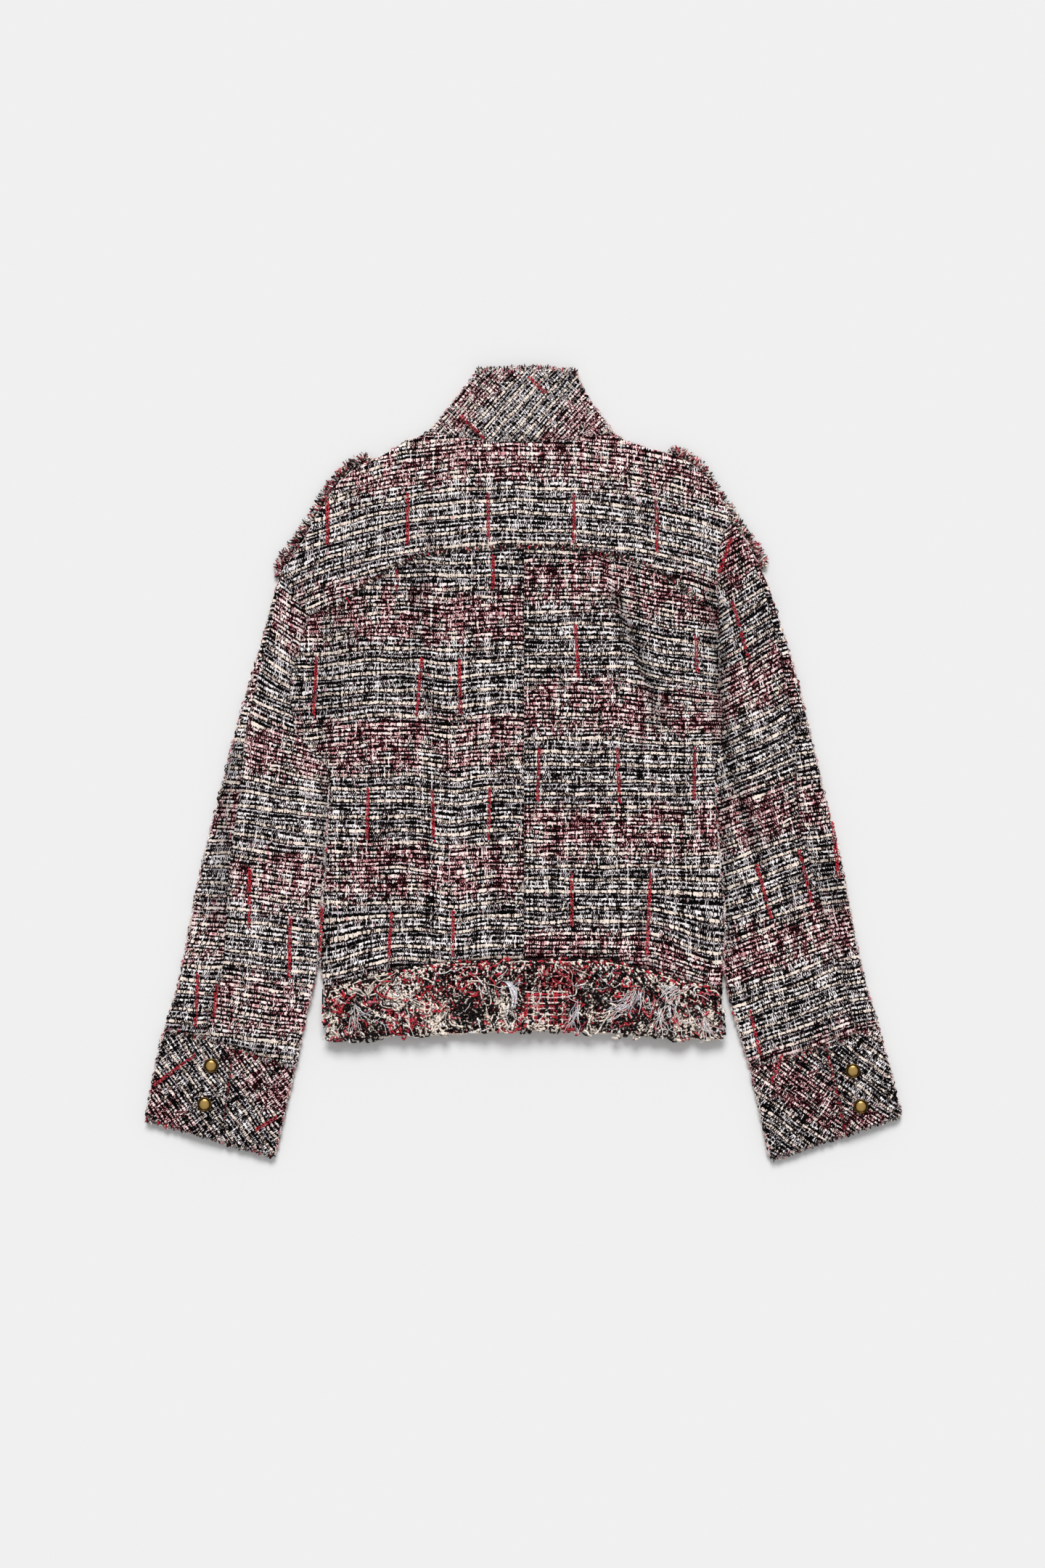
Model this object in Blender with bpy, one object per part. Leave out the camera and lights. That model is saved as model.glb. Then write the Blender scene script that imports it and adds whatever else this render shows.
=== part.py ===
"""Cropped tweed bomber jacket, laid flat with its front down and its back up.

Lengths are in metres, +Z up, +Y towards the collar.  The pattern tables are
in drawing units of a plan of the back: x to the right, y down the garment,
one unit is UNIT metres.  Heights in the tables are millimetres.
Left and right are the wearer's, which are also the plan's.
"""

import math

import bmesh
import bpy
import numpy as np

# ---------------------------------------------------------------- dimensions
UNIT = 0.00073  # metres per drawing unit
PLAN_X, PLAN_Y = 721.5, 1050.0  # drawing point near the origin
CLOTH = 2.4  # mm, wall of the tweed
SEAM = 0.3  # mm between pieces
ROLL = 5.6  # mm, plan depth of the rounded folds at the sides
REST = 7.0  # mm, middle of the back's wall over the front
LAP = 20.0  # units, how far each front passes centre front
SNAP_R = 7.5  # mm, radius of a snap cap
SNAP_H = 2.2  # mm, height of a snap cap
TAB_WIDTH = 58.0  # units, width of a shoulder tab
FRINGE_UNDER = 2.2  # mm, pressed thickness of the fringe under the band
FRINGE_OVER = 3.6  # mm, thickness of the fringe on the back of the band
CENTRE = 722.0  # centre back and centre front

MM = 0.001 / UNIT  # drawing units in a millimetre
HALF = CLOTH / 2 * MM  # half the wall, in units
LAYER = CLOTH + SEAM  # mm, rise of one wall lying on another
CURVED_IN = 0.25 * MM  # half the gap where a curved seam's facets meet

# ------------------------------------------------------------ pattern tables
# Each edge runs from top to bottom.  Columns: x, y.  Named rows are landmarks.
OUTER_LEFT = (
    (657, 511), (636, 540), (604, 580), (592, 594),  # collar side, neck point
    (558, 611), (524, 630), (482, 653), (444, 699), (419, 745),
    (389, 790),  # shoulder point
    (368, 860), (345, 940), (322, 1020), (297, 1120), (277, 1200),
    (261, 1280), (245, 1360),
    (227, 1416),  # cuff seam
    (213, 1478), (201, 1541),  # cuff end
)
OUTER_LEFT_NECK, OUTER_LEFT_SHOULDER, OUTER_LEFT_CUFF = 3, 9, 17
OUTER_RIGHT = (
    (794, 511), (806, 540), (833, 579), (844, 595),
    (898, 620), (943, 635), (977, 663), (1002, 703),
    (1010, 716),
    (1027, 748), (1050, 790), (1075, 860), (1099, 940), (1118, 1020),
    (1137, 1100), (1157, 1180), (1172, 1260), (1189, 1340),
    (1210, 1412),
    (1226, 1473), (1242, 1536),
)
OUTER_RIGHT_NECK, OUTER_RIGHT_SHOULDER, OUTER_RIGHT_CUFF = 3, 8, 18
SIDE_LEFT = (  # body side below the underarm
    (455, 1063), (450, 1160), (444, 1265), (443, 1335),
    (448, 1363),  # band seam
    (450, 1400), (453, 1431),
)
SIDE_LEFT_BAND = 4
SIDE_RIGHT = (
    (985, 1060), (987, 1120), (994, 1200), (999, 1275), (997, 1330),
    (994, 1363),
    (994, 1400), (994, 1431),
)
SIDE_RIGHT_BAND = 5
SLEEVE_LEFT_IN = (
    (455, 1063), (450, 1160), (442, 1265), (437, 1335),
    (425, 1388), (407, 1472),  # cuff seam
    (393, 1532), (379, 1592),
)
SLEEVE_LEFT_IN_CUFF = 5
SLEEVE_RIGHT_IN = (
    (985, 1060), (987, 1120), (994, 1200), (999, 1275), (998, 1335),
    (1012, 1400), (1032, 1467),
    (1047, 1532), (1061, 1596),
)
SLEEVE_RIGHT_IN_CUFF = 6
ARMHOLE_LEFT = ((403, 820), (424, 849), (412, 895), (400, 950), (411, 1012))
ARMHOLE_LEFT_YOKE = 2  # row of the yoke corner, after the shoulder point
ARMHOLE_RIGHT = (
    (995, 742), (988, 782), (990, 838), (989, 890), (992, 940), (996, 1002),
)
ARMHOLE_RIGHT_YOKE = 3
NECK_BACK = ((632, 602), (668, 608), (725, 610), (777, 607), (818, 602))
NECK_FRONT_LEFT = ((626, 638), (672, 665), (721, 672))
NECK_FRONT_RIGHT = ((815, 638), (771, 665), (723, 672))
COLLAR_FRONT_LEFT = ((668, 556), (692, 582), (721, 590))
COLLAR_FRONT_RIGHT = ((783, 556), (755, 582), (723, 590))
YOKE_SEAM_LEFT = (
    (469, 832), (509, 803), (557, 774), (603, 762), (660, 756), (722, 752),
)
YOKE_SEAM_RIGHT = (
    (788, 756), (831, 762), (885, 776), (914, 791), (941, 809), (962, 827),
)
BAND_SEAM = ((505, 1345), (593, 1328), (722, 1321), (847, 1324), (930, 1346))
HEM = ((546, 1425), (640, 1422), (740, 1417), (847, 1422), (931, 1427))
CUFF_SEAM_LEFT = ((273, 1429), (323, 1444), (365, 1459))
CUFF_SEAM_RIGHT = ((1076, 1459), (1139, 1442), (1184, 1424))

# Distance from the outer fold to the seam of the two-piece sleeve.
# Columns: share of the sleeve's length, distance in units.
SLEEVE_SEAM_LEFT = (
    (0.00, 3), (0.15, 5), (0.28, 9), (0.40, 17), (0.50, 27), (0.60, 33),
    (0.70, 41), (0.82, 53), (0.93, 74), (1.00, 97),
)
SLEEVE_SEAM_RIGHT = (
    (0.00, 3), (0.15, 6), (0.30, 13), (0.42, 20), (0.52, 33), (0.60, 44),
    (0.70, 39), (0.78, 34), (0.86, 27), (0.94, 27), (1.00, 33),
)
TAB_LEFT = (  # outer long edge of the shoulder tab, which shows past the fold
    (505, 630), (485, 637), (465, 655), (444, 686), (427, 716), (409, 742),
    (392, 764), (383, 788),
)
TAB_RIGHT = (
    (928, 621), (952, 630), (968, 645), (984, 670), (1003, 699), (1022, 726),
    (1041, 752), (1052, 778),
)

# Folds of the back and sleeves.  Columns: name, points, lift in mm (a trough
# is negative), half width in units.
FOLDS = (
    ("left pleat", ((490, 818), (495, 862), (490, 892), (466, 962), (457, 1012)), -2.4, 9),
    ("left pleat fullness", ((462, 852), (462, 905), (436, 975)), 1.7, 14),
    ("right pleat", ((857, 790), (868, 912), (900, 1014)), -2.2, 9),
    ("right pleat fullness", ((884, 808), (900, 900), (936, 1000)), 1.7, 17),
    ("left trough", ((604, 785), (630, 955), (616, 1130), (630, 1275)), -1.4, 15),
    ("centre left fullness", ((668, 800), (676, 1010), (668, 1250)), 1.1, 24),
    ("right of centre fullness", ((790, 800), (800, 1000), (800, 1240)), 1.2, 28),
    ("lower right ridge", ((894, 1160), (897, 1240), (894, 1318)), 2.4, 17),
    ("lower right trough", ((858, 1180), (856, 1300)), -1.2, 13),
    ("lower right sag", ((922, 1290), (962, 1322), (984, 1348)), 1.8, 18),
    ("lower left sag", ((462, 1330), (500, 1326), (545, 1306)), 1.9, 16),
    ("blouson", ((480, 1336), (590, 1305), (722, 1298), (850, 1302), (950, 1332)), 2.3, 17),
    ("centre back seam", ((722, 758), (722, 1318)), -0.5, 5),
    ("left armhole", ((403, 820), (424, 849), (412, 895), (400, 950), (411, 1012)), -1.3, 8),
    ("right armhole", ((990, 775), (990, 838), (989, 890), (992, 940), (996, 1002)), -2.6, 10),
    ("left sleeve fullness", ((392, 862), (372, 1040), (352, 1230), (338, 1400)), 2.0, 30),
    ("right sleeve fullness", ((1036, 850), (1056, 1040), (1076, 1230), (1100, 1400)), 2.0, 34),
    ("left sleeve seam", ((350, 940), (334, 1040), (318, 1165), (308, 1300), (318, 1400)), -1.6, 7),
    ("right sleeve seam", ((1096, 1010), (1104, 1140), (1136, 1255), (1168, 1368)), -2.4, 8),
    ("right sleeve fold", ((1003, 1168), (1040, 1112), (1092, 1082)), 1.6, 12),
    ("right sleeve fold low", ((1022, 1292), (1058, 1232), (1108, 1200)), 1.8, 13),
    ("left sleeve fold", ((412, 1120), (372, 1150), (338, 1156)), 1.2, 12),
)
SNAPS_CUFF = (  # columns: name, x, y
    ("snap_cuff_left_upper", 292, 1467), ("snap_cuff_left_lower", 283, 1520),
    ("snap_cuff_right_upper", 1174, 1474), ("snap_cuff_right_lower", 1185, 1523),
)
SNAPS_FRONT = (712, 856, 1000, 1144, 1288)  # y down the front lap

# Free edge of the upper end of each cuff, at its top and bottom.
CUFF_EDGE_LEFT = (321, 305)
CUFF_EDGE_RIGHT = (1139, 1166)
CUFF_LAP = 34.0  # units, how far the under end runs past that edge


# ------------------------------------------------------------------- curves
class Curve:
    """A smooth line through the rows of a table; 0 is its start, 1 its end."""

    def __init__(self, rows):
        self.rows = np.array(rows, float)
        steps = np.hypot(*np.diff(self.rows, axis=0).T)
        self.at = np.concatenate([[0], np.cumsum(steps)]) / steps.sum()
        spans = np.diff(self.at)[:, None]
        slopes = np.diff(self.rows, axis=0) / spans
        self.tangents = np.empty_like(self.rows)
        self.tangents[0], self.tangents[-1] = slopes[0], slopes[-1]
        self.tangents[1:-1] = (slopes[:-1] * spans[1:] + slopes[1:] * spans[:-1]) / (
            spans[:-1] + spans[1:]
        )

    def __call__(self, share):
        share = np.clip(np.asarray(share, float), 0, 1)
        k = np.clip(np.searchsorted(self.at, share, "right") - 1, 0, len(self.at) - 2)
        span = (self.at[k + 1] - self.at[k])[..., None]
        t = ((share - self.at[k])[..., None]) / span
        a, b = self.rows[k], self.rows[k + 1]
        ma, mb = self.tangents[k] * span, self.tangents[k + 1] * span
        return (
            (2 * t**3 - 3 * t**2 + 1) * a
            + (t**3 - 2 * t**2 + t) * ma
            + (3 * t**2 - 2 * t**3) * b
            + (t**3 - t**2) * mb
        )


def moved_in(rows, side, by):
    """The curve moved sideways by that many units; side 1 moves it to the right."""
    line = Curve(rows)
    h = 1e-3
    ahead, behind = line(np.minimum(line.at + h, 1)), line(np.maximum(line.at - h, 0))
    along = (ahead - behind) / np.hypot(*(ahead - behind).T)[:, None]
    # y runs down the plan, so this turns a downward edge's normal to the right.
    across = np.stack([along[:, 1], -along[:, 0]], axis=1)
    return Curve(line.rows + across * side * by)


def stretch(curve, start, end):
    """The part of a curve between two shares, as an edge from 0 to 1."""
    return lambda s: curve(start + (end - start) * np.asarray(s, float))


def chain(*parts):
    """One edge from several: pairs of the share where each ends and its edge."""
    ends = [0.0] + [end for end, _ in parts]

    def edge(s):
        s = np.asarray(s, float)
        out = parts[-1][1](np.clip((s - ends[-2]) / (ends[-1] - ends[-2]), 0, 1))
        for k in range(len(parts) - 2, -1, -1):
            inside = s <= ends[k + 1]
            local = np.clip((s - ends[k]) / (ends[k + 1] - ends[k]), 0, 1)
            out = np.where(inside[..., None], parts[k][1](local), out)
        return out

    return edge


def smooth(x):
    x = np.clip(x, 0, 1)
    return x * x * (3 - 2 * x)


outer_left = moved_in(OUTER_LEFT, 1, HALF)
outer_right = moved_in(OUTER_RIGHT, -1, HALF)
APART = HALF + 0.5 * SEAM * MM + 0.4  # inset where body and sleeve lie side by side


def below_underarm(rows, side):
    """An edge that starts with the small turn at the underarm, then runs inset."""
    crotch = np.array(rows[0], float)
    inset = moved_in(rows, side, APART)
    turn = [crotch + APART * np.array([side * math.sin(a), -math.cos(a)]) for a in (0, 0.5, 1.0)]
    inset = Curve(np.vstack([turn, crotch + [side * APART, 0.0], inset.rows[1:]]))
    return inset


side_left = below_underarm(SIDE_LEFT, 1)
side_right = below_underarm(SIDE_RIGHT, -1)
sleeve_left_in = below_underarm(SLEEVE_LEFT_IN, -1)
sleeve_right_in = below_underarm(SLEEVE_RIGHT_IN, 1)
TURN = 3  # rows that the turn adds ahead of a table's own
armhole_left = Curve(
    [outer_left.rows[OUTER_LEFT_SHOULDER], *ARMHOLE_LEFT, side_left.rows[0]]
)
armhole_right = Curve(
    [outer_right.rows[OUTER_RIGHT_SHOULDER], *ARMHOLE_RIGHT, side_right.rows[0]]
)
neck_back = Curve(
    [outer_left.rows[OUTER_LEFT_NECK], *NECK_BACK, outer_right.rows[OUTER_RIGHT_NECK]]
)
neck_front_left = Curve([outer_left.rows[OUTER_LEFT_NECK], *NECK_FRONT_LEFT])
neck_front_right = Curve([outer_right.rows[OUTER_RIGHT_NECK], *NECK_FRONT_RIGHT])
collar_front_left = Curve([outer_left.rows[0], *COLLAR_FRONT_LEFT])
collar_front_right = Curve([outer_right.rows[0], *COLLAR_FRONT_RIGHT])
yoke_seam_left = Curve([armhole_left.rows[ARMHOLE_LEFT_YOKE], *YOKE_SEAM_LEFT])
yoke_seam_right = Curve(
    [YOKE_SEAM_LEFT[-1], *YOKE_SEAM_RIGHT, armhole_right.rows[ARMHOLE_RIGHT_YOKE]]
)
band_seam = Curve(
    [side_left.rows[SIDE_LEFT_BAND + TURN], *BAND_SEAM, side_right.rows[SIDE_RIGHT_BAND + TURN]]
)
hem = Curve([side_left.rows[-1], *HEM, side_right.rows[-1]])
cuff_seam_left = Curve(
    [outer_left.rows[OUTER_LEFT_CUFF], *CUFF_SEAM_LEFT, sleeve_left_in.rows[SLEEVE_LEFT_IN_CUFF + TURN]]
)
cuff_seam_right = Curve(
    [sleeve_right_in.rows[SLEEVE_RIGHT_IN_CUFF + TURN], *CUFF_SEAM_RIGHT, outer_right.rows[OUTER_RIGHT_CUFF]]
)
cuff_end_left = Curve([outer_left.rows[-1], sleeve_left_in.rows[-1]])
cuff_end_right = Curve([sleeve_right_in.rows[-1], outer_right.rows[-1]])


# ------------------------------------------------------- folds at the sides
def outline(curve, side, count, first_down=False):
    """Points along a rounded fold, each with the direction that faces out."""
    share = np.unique(np.round(np.concatenate([np.linspace(0, 1, count), curve.at]), 3))
    points = curve(share)
    along = np.gradient(points, axis=0)
    along /= np.hypot(*along.T)[:, None]
    out = np.stack([along[:, 1], -along[:, 0]], axis=1) * -side
    if first_down:
        out[0] = (0, 1)
    return points, out


OUTLINES = {
    "outer_left": outline(outer_left, 1, 70),
    "outer_right": outline(outer_right, -1, 70),
    "side_left": outline(side_left, 1, 24, True),
    "side_right": outline(side_right, -1, 24, True),
    "sleeve_left_in": outline(sleeve_left_in, -1, 30, True),
    "sleeve_right_in": outline(sleeve_right_in, 1, 30, True),
}


def distance(xy, points):
    """Distance of each point to a line of points, with the nearest segment and share."""
    shape = xy.shape[:-1]
    flat = xy.reshape(-1, 2)
    best = np.full(len(flat), 1e9)
    where = np.zeros(len(flat), int)
    share = np.zeros(len(flat))
    for k in range(len(points) - 1):
        a, b = points[k], points[k + 1]
        ab = b - a
        t = np.clip(((flat - a) @ ab) / max(ab @ ab, 1e-12), 0, 1)
        d = np.hypot(*(flat - a - t[:, None] * ab).T)
        closer = d < best
        best[closer], where[closer], share[closer] = d[closer], k, t[closer]
    return best.reshape(shape), where.reshape(shape), share.reshape(shape)


def from_fold(xy):
    """Distance to the nearest rounded fold, and the direction out of it."""
    near = np.full(xy.shape[:-1], 1e9)
    out = np.zeros(xy.shape)
    for points, normals in OUTLINES.values():
        d, k, t = distance(xy, points)
        n = normals[k] * (1 - t)[..., None] + normals[k + 1] * t[..., None]
        closer = d < near
        near = np.where(closer, d, near)
        out = np.where(closer[..., None], n, out)
    return near, out / np.maximum(np.hypot(out[..., 0], out[..., 1]), 1e-9)[..., None]


# ------------------------------------------------------------------ heights
TAB_CENTRES = tuple(
    moved_in(rows, side, TAB_WIDTH / 2)(np.linspace(0, 1, 9))
    for rows, side in ((TAB_LEFT, 1), (TAB_RIGHT, -1))
)


def common_rise(xy):
    """What lies under both layers: the shoulder tabs and the fringe under the band."""
    rise = np.zeros(xy.shape[:-1])
    for centre in TAB_CENTRES:
        d, _, _ = distance(xy, centre)
        rise = np.maximum(rise, (LAYER + 0.2) * (1 - smooth((d - TAB_WIDTH / 2 - 22) / 34)))
    seam = np.interp(xy[..., 0], *band_seam(np.linspace(0, 1, 40)).T)
    in_body = (xy[..., 0] > 425) & (xy[..., 0] < 1012)
    band = (FRINGE_UNDER + SEAM + 0.1) * smooth((xy[..., 1] - seam + 34) / 30)
    return np.maximum(rise, np.where(in_body, band, 0))


def front_rise(xy, left):
    """Rise of a front above the common level: the snap caps, and the lap's under layer."""
    x, y = xy[..., 0], xy[..., 1]
    fade = smooth((y - 604) / 62)
    caps = (SNAP_H + SEAM) * (1 - smooth((x - CENTRE - 16) / 24)) * fade
    if not left:
        return np.maximum(common_rise(xy), caps)
    lap = (SNAP_H + SEAM + LAYER + 0.1) * smooth((x - CENTRE + LAP + 58) / 46) * fade
    band = smooth((y - 1318) / 40) * LAYER * smooth((x - CENTRE + LAP + 58) / 46)
    return np.maximum(common_rise(xy) + band, lap)


def over(xy):
    """Middle of the back layer, before it turns down at the folds."""
    x, y = xy[..., 0], xy[..., 1]
    level = REST + common_rise(xy)
    level = level + 3.2 * np.exp(-(((x - CENTRE) / 56) ** 2)) * smooth((y - 556) / 80)
    for _, points, lift, width in FOLDS:
        line = Curve(points)(np.linspace(0, 1, 4 * len(points)))
        d, _, _ = distance(xy, line)
        level = level + lift * np.exp(-((d / width) ** 2))
    return level


def heights(xy, layer, left=None, extra=0.0):
    """Middle of the wall in mm, and the direction its outside faces."""
    near, out = from_fold(xy)
    turn = np.clip(1 - near / (ROLL * MM), 0, 1)  # cosine of the fold's angle
    rise = np.sqrt(1 - turn**2)
    base = common_rise(xy) + CLOTH / 2
    top = over(xy)
    mid = (base + top) / 2
    half = (top - base) / 2
    if left is None:
        under = base
    else:
        left = np.broadcast_to(left, xy.shape[:-1])
        under = np.where(left, front_rise(xy, True), front_rise(xy, False)) + CLOTH / 2
    above = mid + (top - mid) * rise + extra
    below = mid + (under - mid) * rise - extra
    z = np.where(layer > 0, above, below)
    normal = np.stack(
        [out[..., 0] * turn / ROLL, out[..., 1] * turn / ROLL, np.sign(layer) * rise / half],
        axis=-1,
    )
    normal = np.where((turn <= 0)[..., None], np.stack([0 * z, 0 * z, np.sign(layer) + 0 * z], axis=-1), normal)
    return z, normal / np.linalg.norm(normal, axis=-1)[..., None], near


# ------------------------------------------------------------------- panels
def patch(left, right, top, bottom, u, v):
    """Plan points of a panel between four edges, u across it and v down it."""
    p00, p10, p01, p11 = top(0.0), top(1.0), bottom(0.0), bottom(1.0)
    U, V = u[..., None], v[..., None]
    return (
        (1 - U) * left(v) + U * right(v) + (1 - V) * top(u) + V * bottom(u)
        - (1 - U) * (1 - V) * p00 - U * (1 - V) * p10 - (1 - U) * V * p01 - U * V * p11
    )


def roll_steps(count):
    """Distances in from a fold, in units, closer together where it turns down."""
    angles = np.linspace(0, math.pi / 2, count + 1)
    return ROLL * MM * (1 - np.cos(angles))


def shares(width, count, roll_start, roll_end, steps=3):
    """Shares across a row of that width: even, but close together in a fold."""
    even = np.linspace(0, 1, count + 1)
    out = even.copy()
    if roll_start:
        d = roll_steps(steps) / width
        out[: steps + 1] = d
    if roll_end:
        d = roll_steps(steps) / width
        out[-steps - 1 :] = 1 - d[::-1]
    first = steps if roll_start else 0
    last = count - steps if roll_end else count
    out[first : last + 1] = np.linspace(out[first], out[last], last - first + 1)
    return out


def across(left, right, v, count, roll_start, roll_end, weight=None, steps=3, even=None):
    """u for each row and column; weight says how far each row uses its fold's spacing."""
    width = np.hypot(*(right(v) - left(v)).T)
    even = np.linspace(0, 1, count + 1) if even is None else even
    rows = np.array([shares(w, count, roll_start, roll_end, steps) for w in width])
    if weight is None:
        return rows
    return even + (rows - even) * np.asarray(weight)[:, None]


def close(name, middle, normal, half):
    """A closed wall from a grid of middle points, in metres."""
    rows, cols = middle.shape[:2]
    front, back = middle + normal * half, middle - normal * half
    mesh = bmesh.new()
    grids = [
        [[mesh.verts.new(p) for p in row] for row in side] for side in (front, back)
    ]
    for side, grid in enumerate(grids):
        for i in range(rows - 1):
            for j in range(cols - 1):
                quad = [grid[i][j], grid[i][j + 1], grid[i + 1][j + 1], grid[i + 1][j]]
                mesh.faces.new(quad[::-1] if side else quad)
    rim = (
        [(0, j) for j in range(cols)]
        + [(i, cols - 1) for i in range(1, rows)]
        + [(rows - 1, j) for j in range(cols - 2, -1, -1)]
        + [(i, 0) for i in range(rows - 2, 0, -1)]
    )
    for (i, j), (k, m) in zip(rim, rim[1:] + rim[:1]):
        mesh.faces.new([grids[0][i][j], grids[1][i][j], grids[1][k][m], grids[0][k][m]])
    bmesh.ops.recalc_face_normals(mesh, faces=mesh.faces)
    return put(name, mesh)


def put(name, mesh):
    data = bpy.data.meshes.new(name)
    if mesh.calc_volume(signed=True) < 0:
        bmesh.ops.reverse_faces(mesh, faces=mesh.faces)
    mesh.to_mesh(data)
    mesh.free()
    obj = bpy.data.objects.new(name, data)
    bpy.context.scene.collection.objects.link(obj)
    return obj


def metres(xy, z):
    return np.stack(
        [(xy[..., 0] - PLAN_X) * UNIT, (PLAN_Y - xy[..., 1]) * UNIT, z / 1000], axis=-1
    )


def seam_in(xy, sides, by=0.5 * SEAM * MM):
    """Moves the edges of a panel's plan in by half the gap at a seam."""
    xy = xy.copy()
    for side in sides:
        view = {
            "top": (xy[0], xy[1]), "bottom": (xy[-1], xy[-2]),
            "left": (xy[:, 0], xy[:, 1]), "right": (xy[:, -1], xy[:, -2]),
        }[side]
        step = view[1] - view[0]
        length = np.maximum(np.hypot(step[..., 0], step[..., 1]), 1e-9)[..., None]
        view[0][...] = view[0] + step / length * np.minimum(by, 0.4 * length)
    return xy


def panel(name, xy, layer, seams=(), left=None, extra=0.0, opened=()):
    """A wall of cloth over a plan grid.  opened edges end on a fold, at its middle."""
    plan = seam_in(xy, seams)
    layer = np.broadcast_to(np.asarray(layer, float), plan.shape[:-1])
    z, normal, near = heights(plan, layer, left, extra)
    on_fold = np.zeros(z.shape, bool)
    for side in opened:
        rim = {"top": np.s_[0, :], "bottom": np.s_[-1, :], "left": np.s_[:, 0], "right": np.s_[:, -1]}[side]
        on_fold[rim] = near[rim] < 0.05
    z = np.where(on_fold, z + np.sign(layer) * SEAM / 2, z)
    normal = normal * [1, -1, 1]
    return close(name, metres(plan, z), normal, CLOTH / 2000)


# ------------------------------------------------------------------- build
for old in list(bpy.data.objects):
    bpy.data.objects.remove(old, do_unlink=True)

COLLAR_FRONT_COLS = 7  # columns of the collar across each front
COLLAR_COLS = 12  # columns of the collar across the back
ARM, LOWER, UPPER = 8, 6, 5  # rows along the armhole, below it, and beside the yoke
BACK_COLS = 13

shoulder_l, shoulder_r = outer_left.at[OUTER_LEFT_SHOULDER], outer_right.at[OUTER_RIGHT_SHOULDER]
neck_l, neck_r = outer_left.at[OUTER_LEFT_NECK], outer_right.at[OUTER_RIGHT_NECK]
arm_yoke_l, arm_yoke_r = armhole_left.at[ARMHOLE_LEFT_YOKE], armhole_right.at[ARMHOLE_RIGHT_YOKE]
band_l = side_left.at[SIDE_LEFT_BAND + TURN]
band_r = side_right.at[SIDE_RIGHT_BAND + TURN]
seam_mid = band_seam.at[3]


def rows_down(*counts):
    """Even rows in each stretch of an edge that chain() joins at equal steps of share."""
    total = sum(counts)
    return np.linspace(0, 1, total + 1), [sum(counts[: k + 1]) / total for k in range(len(counts))]


YOKE_ROWS = 7
ARMHOLE_GAP = np.concatenate([np.ones(ARM - 1), [2.5, 2.5]]) * CURVED_IN  # wider at the underarm


def beside_yoke(armhole, arm_yoke, first):
    """The armhole beside the yoke, with its rows where the yoke's own rows are."""
    chord = max(float(np.hypot(*(armhole(arm_yoke) - armhole(0.0)))), 30.0)
    stops = shares(chord, YOKE_ROWS, True, False)[2:]
    stops[0] = first
    return lambda s: armhole(arm_yoke * np.interp(s, np.linspace(0, 1, UPPER + 1), stops))


# Columns of the yoke; the collar and the back panels share them at their seams.
cols = 2 * BACK_COLS
NECK_FROM, NECK_TO = 7, 7 + COLLAR_COLS  # columns where the neck seam starts and ends
neck_width = float(np.hypot(*(neck_back(1.0) - neck_back(0.0))))
u1 = np.linspace(0, 1, cols + 1)
u1[NECK_FROM : NECK_TO + 1] = u1[NECK_FROM] + (u1[NECK_TO] - u1[NECK_FROM]) * shares(
    neck_width, COLLAR_COLS, True, True
)

# Back panels: yoke seam at the top, armhole then side at one side, centre back.
v, (v_arm, v_turn, _) = rows_down(ARM, 1, LOWER)
weight = smooth((v - 0.85 * v_arm) / (0.25 * v_arm))


def row_gap(rows, gaps, first=0):
    """The gap at each row of an edge, from a list that starts at row first."""
    out = np.full(rows, CURVED_IN)
    out[first : first + len(gaps)] = gaps
    return out[:, None]


def back_panel(name, is_left):
    if is_left:
        outside = chain(
            (v_arm, stretch(armhole_left, arm_yoke_l, 1)),
            (v_turn, stretch(side_left, 0, side_left.at[TURN])),
            (1, stretch(side_left, side_left.at[TURN], band_l)),
        )
        inside = Curve([(CENTRE, YOKE_SEAM_LEFT[-1][1]), (CENTRE, BAND_SEAM[2][1])])
        top, bottom = yoke_seam_left, stretch(band_seam, 0, seam_mid)
        left, right = outside, inside
    else:
        outside = chain(
            (v_arm, stretch(armhole_right, arm_yoke_r, 1)),
            (v_turn, stretch(side_right, 0, side_right.at[TURN])),
            (1, stretch(side_right, side_right.at[TURN], band_r)),
        )
        inside = Curve([(CENTRE, YOKE_SEAM_LEFT[-1][1]), (CENTRE, BAND_SEAM[2][1])])
        top, bottom = yoke_seam_right, stretch(band_seam, seam_mid, 1)
        left, right = inside, outside
    own = u1[: BACK_COLS + 1] * 2 if is_left else u1[BACK_COLS:] * 2 - 1
    u = across(left, right, v, BACK_COLS, is_left, not is_left, weight, even=own)
    xy = patch(left, right, top, bottom, u, np.repeat(v[:, None], BACK_COLS + 1, 1))
    xy = seam_in(xy, ["bottom"], CURVED_IN)
    seams = ["top", "right" if is_left else "left"]
    # The side below the underarm is a fold, where the gap is upright instead.
    rim = 0 if is_left else -1
    shifted = seam_in(xy, ["left" if is_left else "right"], row_gap(len(v), ARMHOLE_GAP))
    xy[: ARM + 1, rim] = shifted[: ARM + 1, rim]
    return panel(name, xy, 1, seams, opened=("left" if is_left else "right",))


back_panel("back_panel_left", True)
back_panel("back_panel_right", False)

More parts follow.
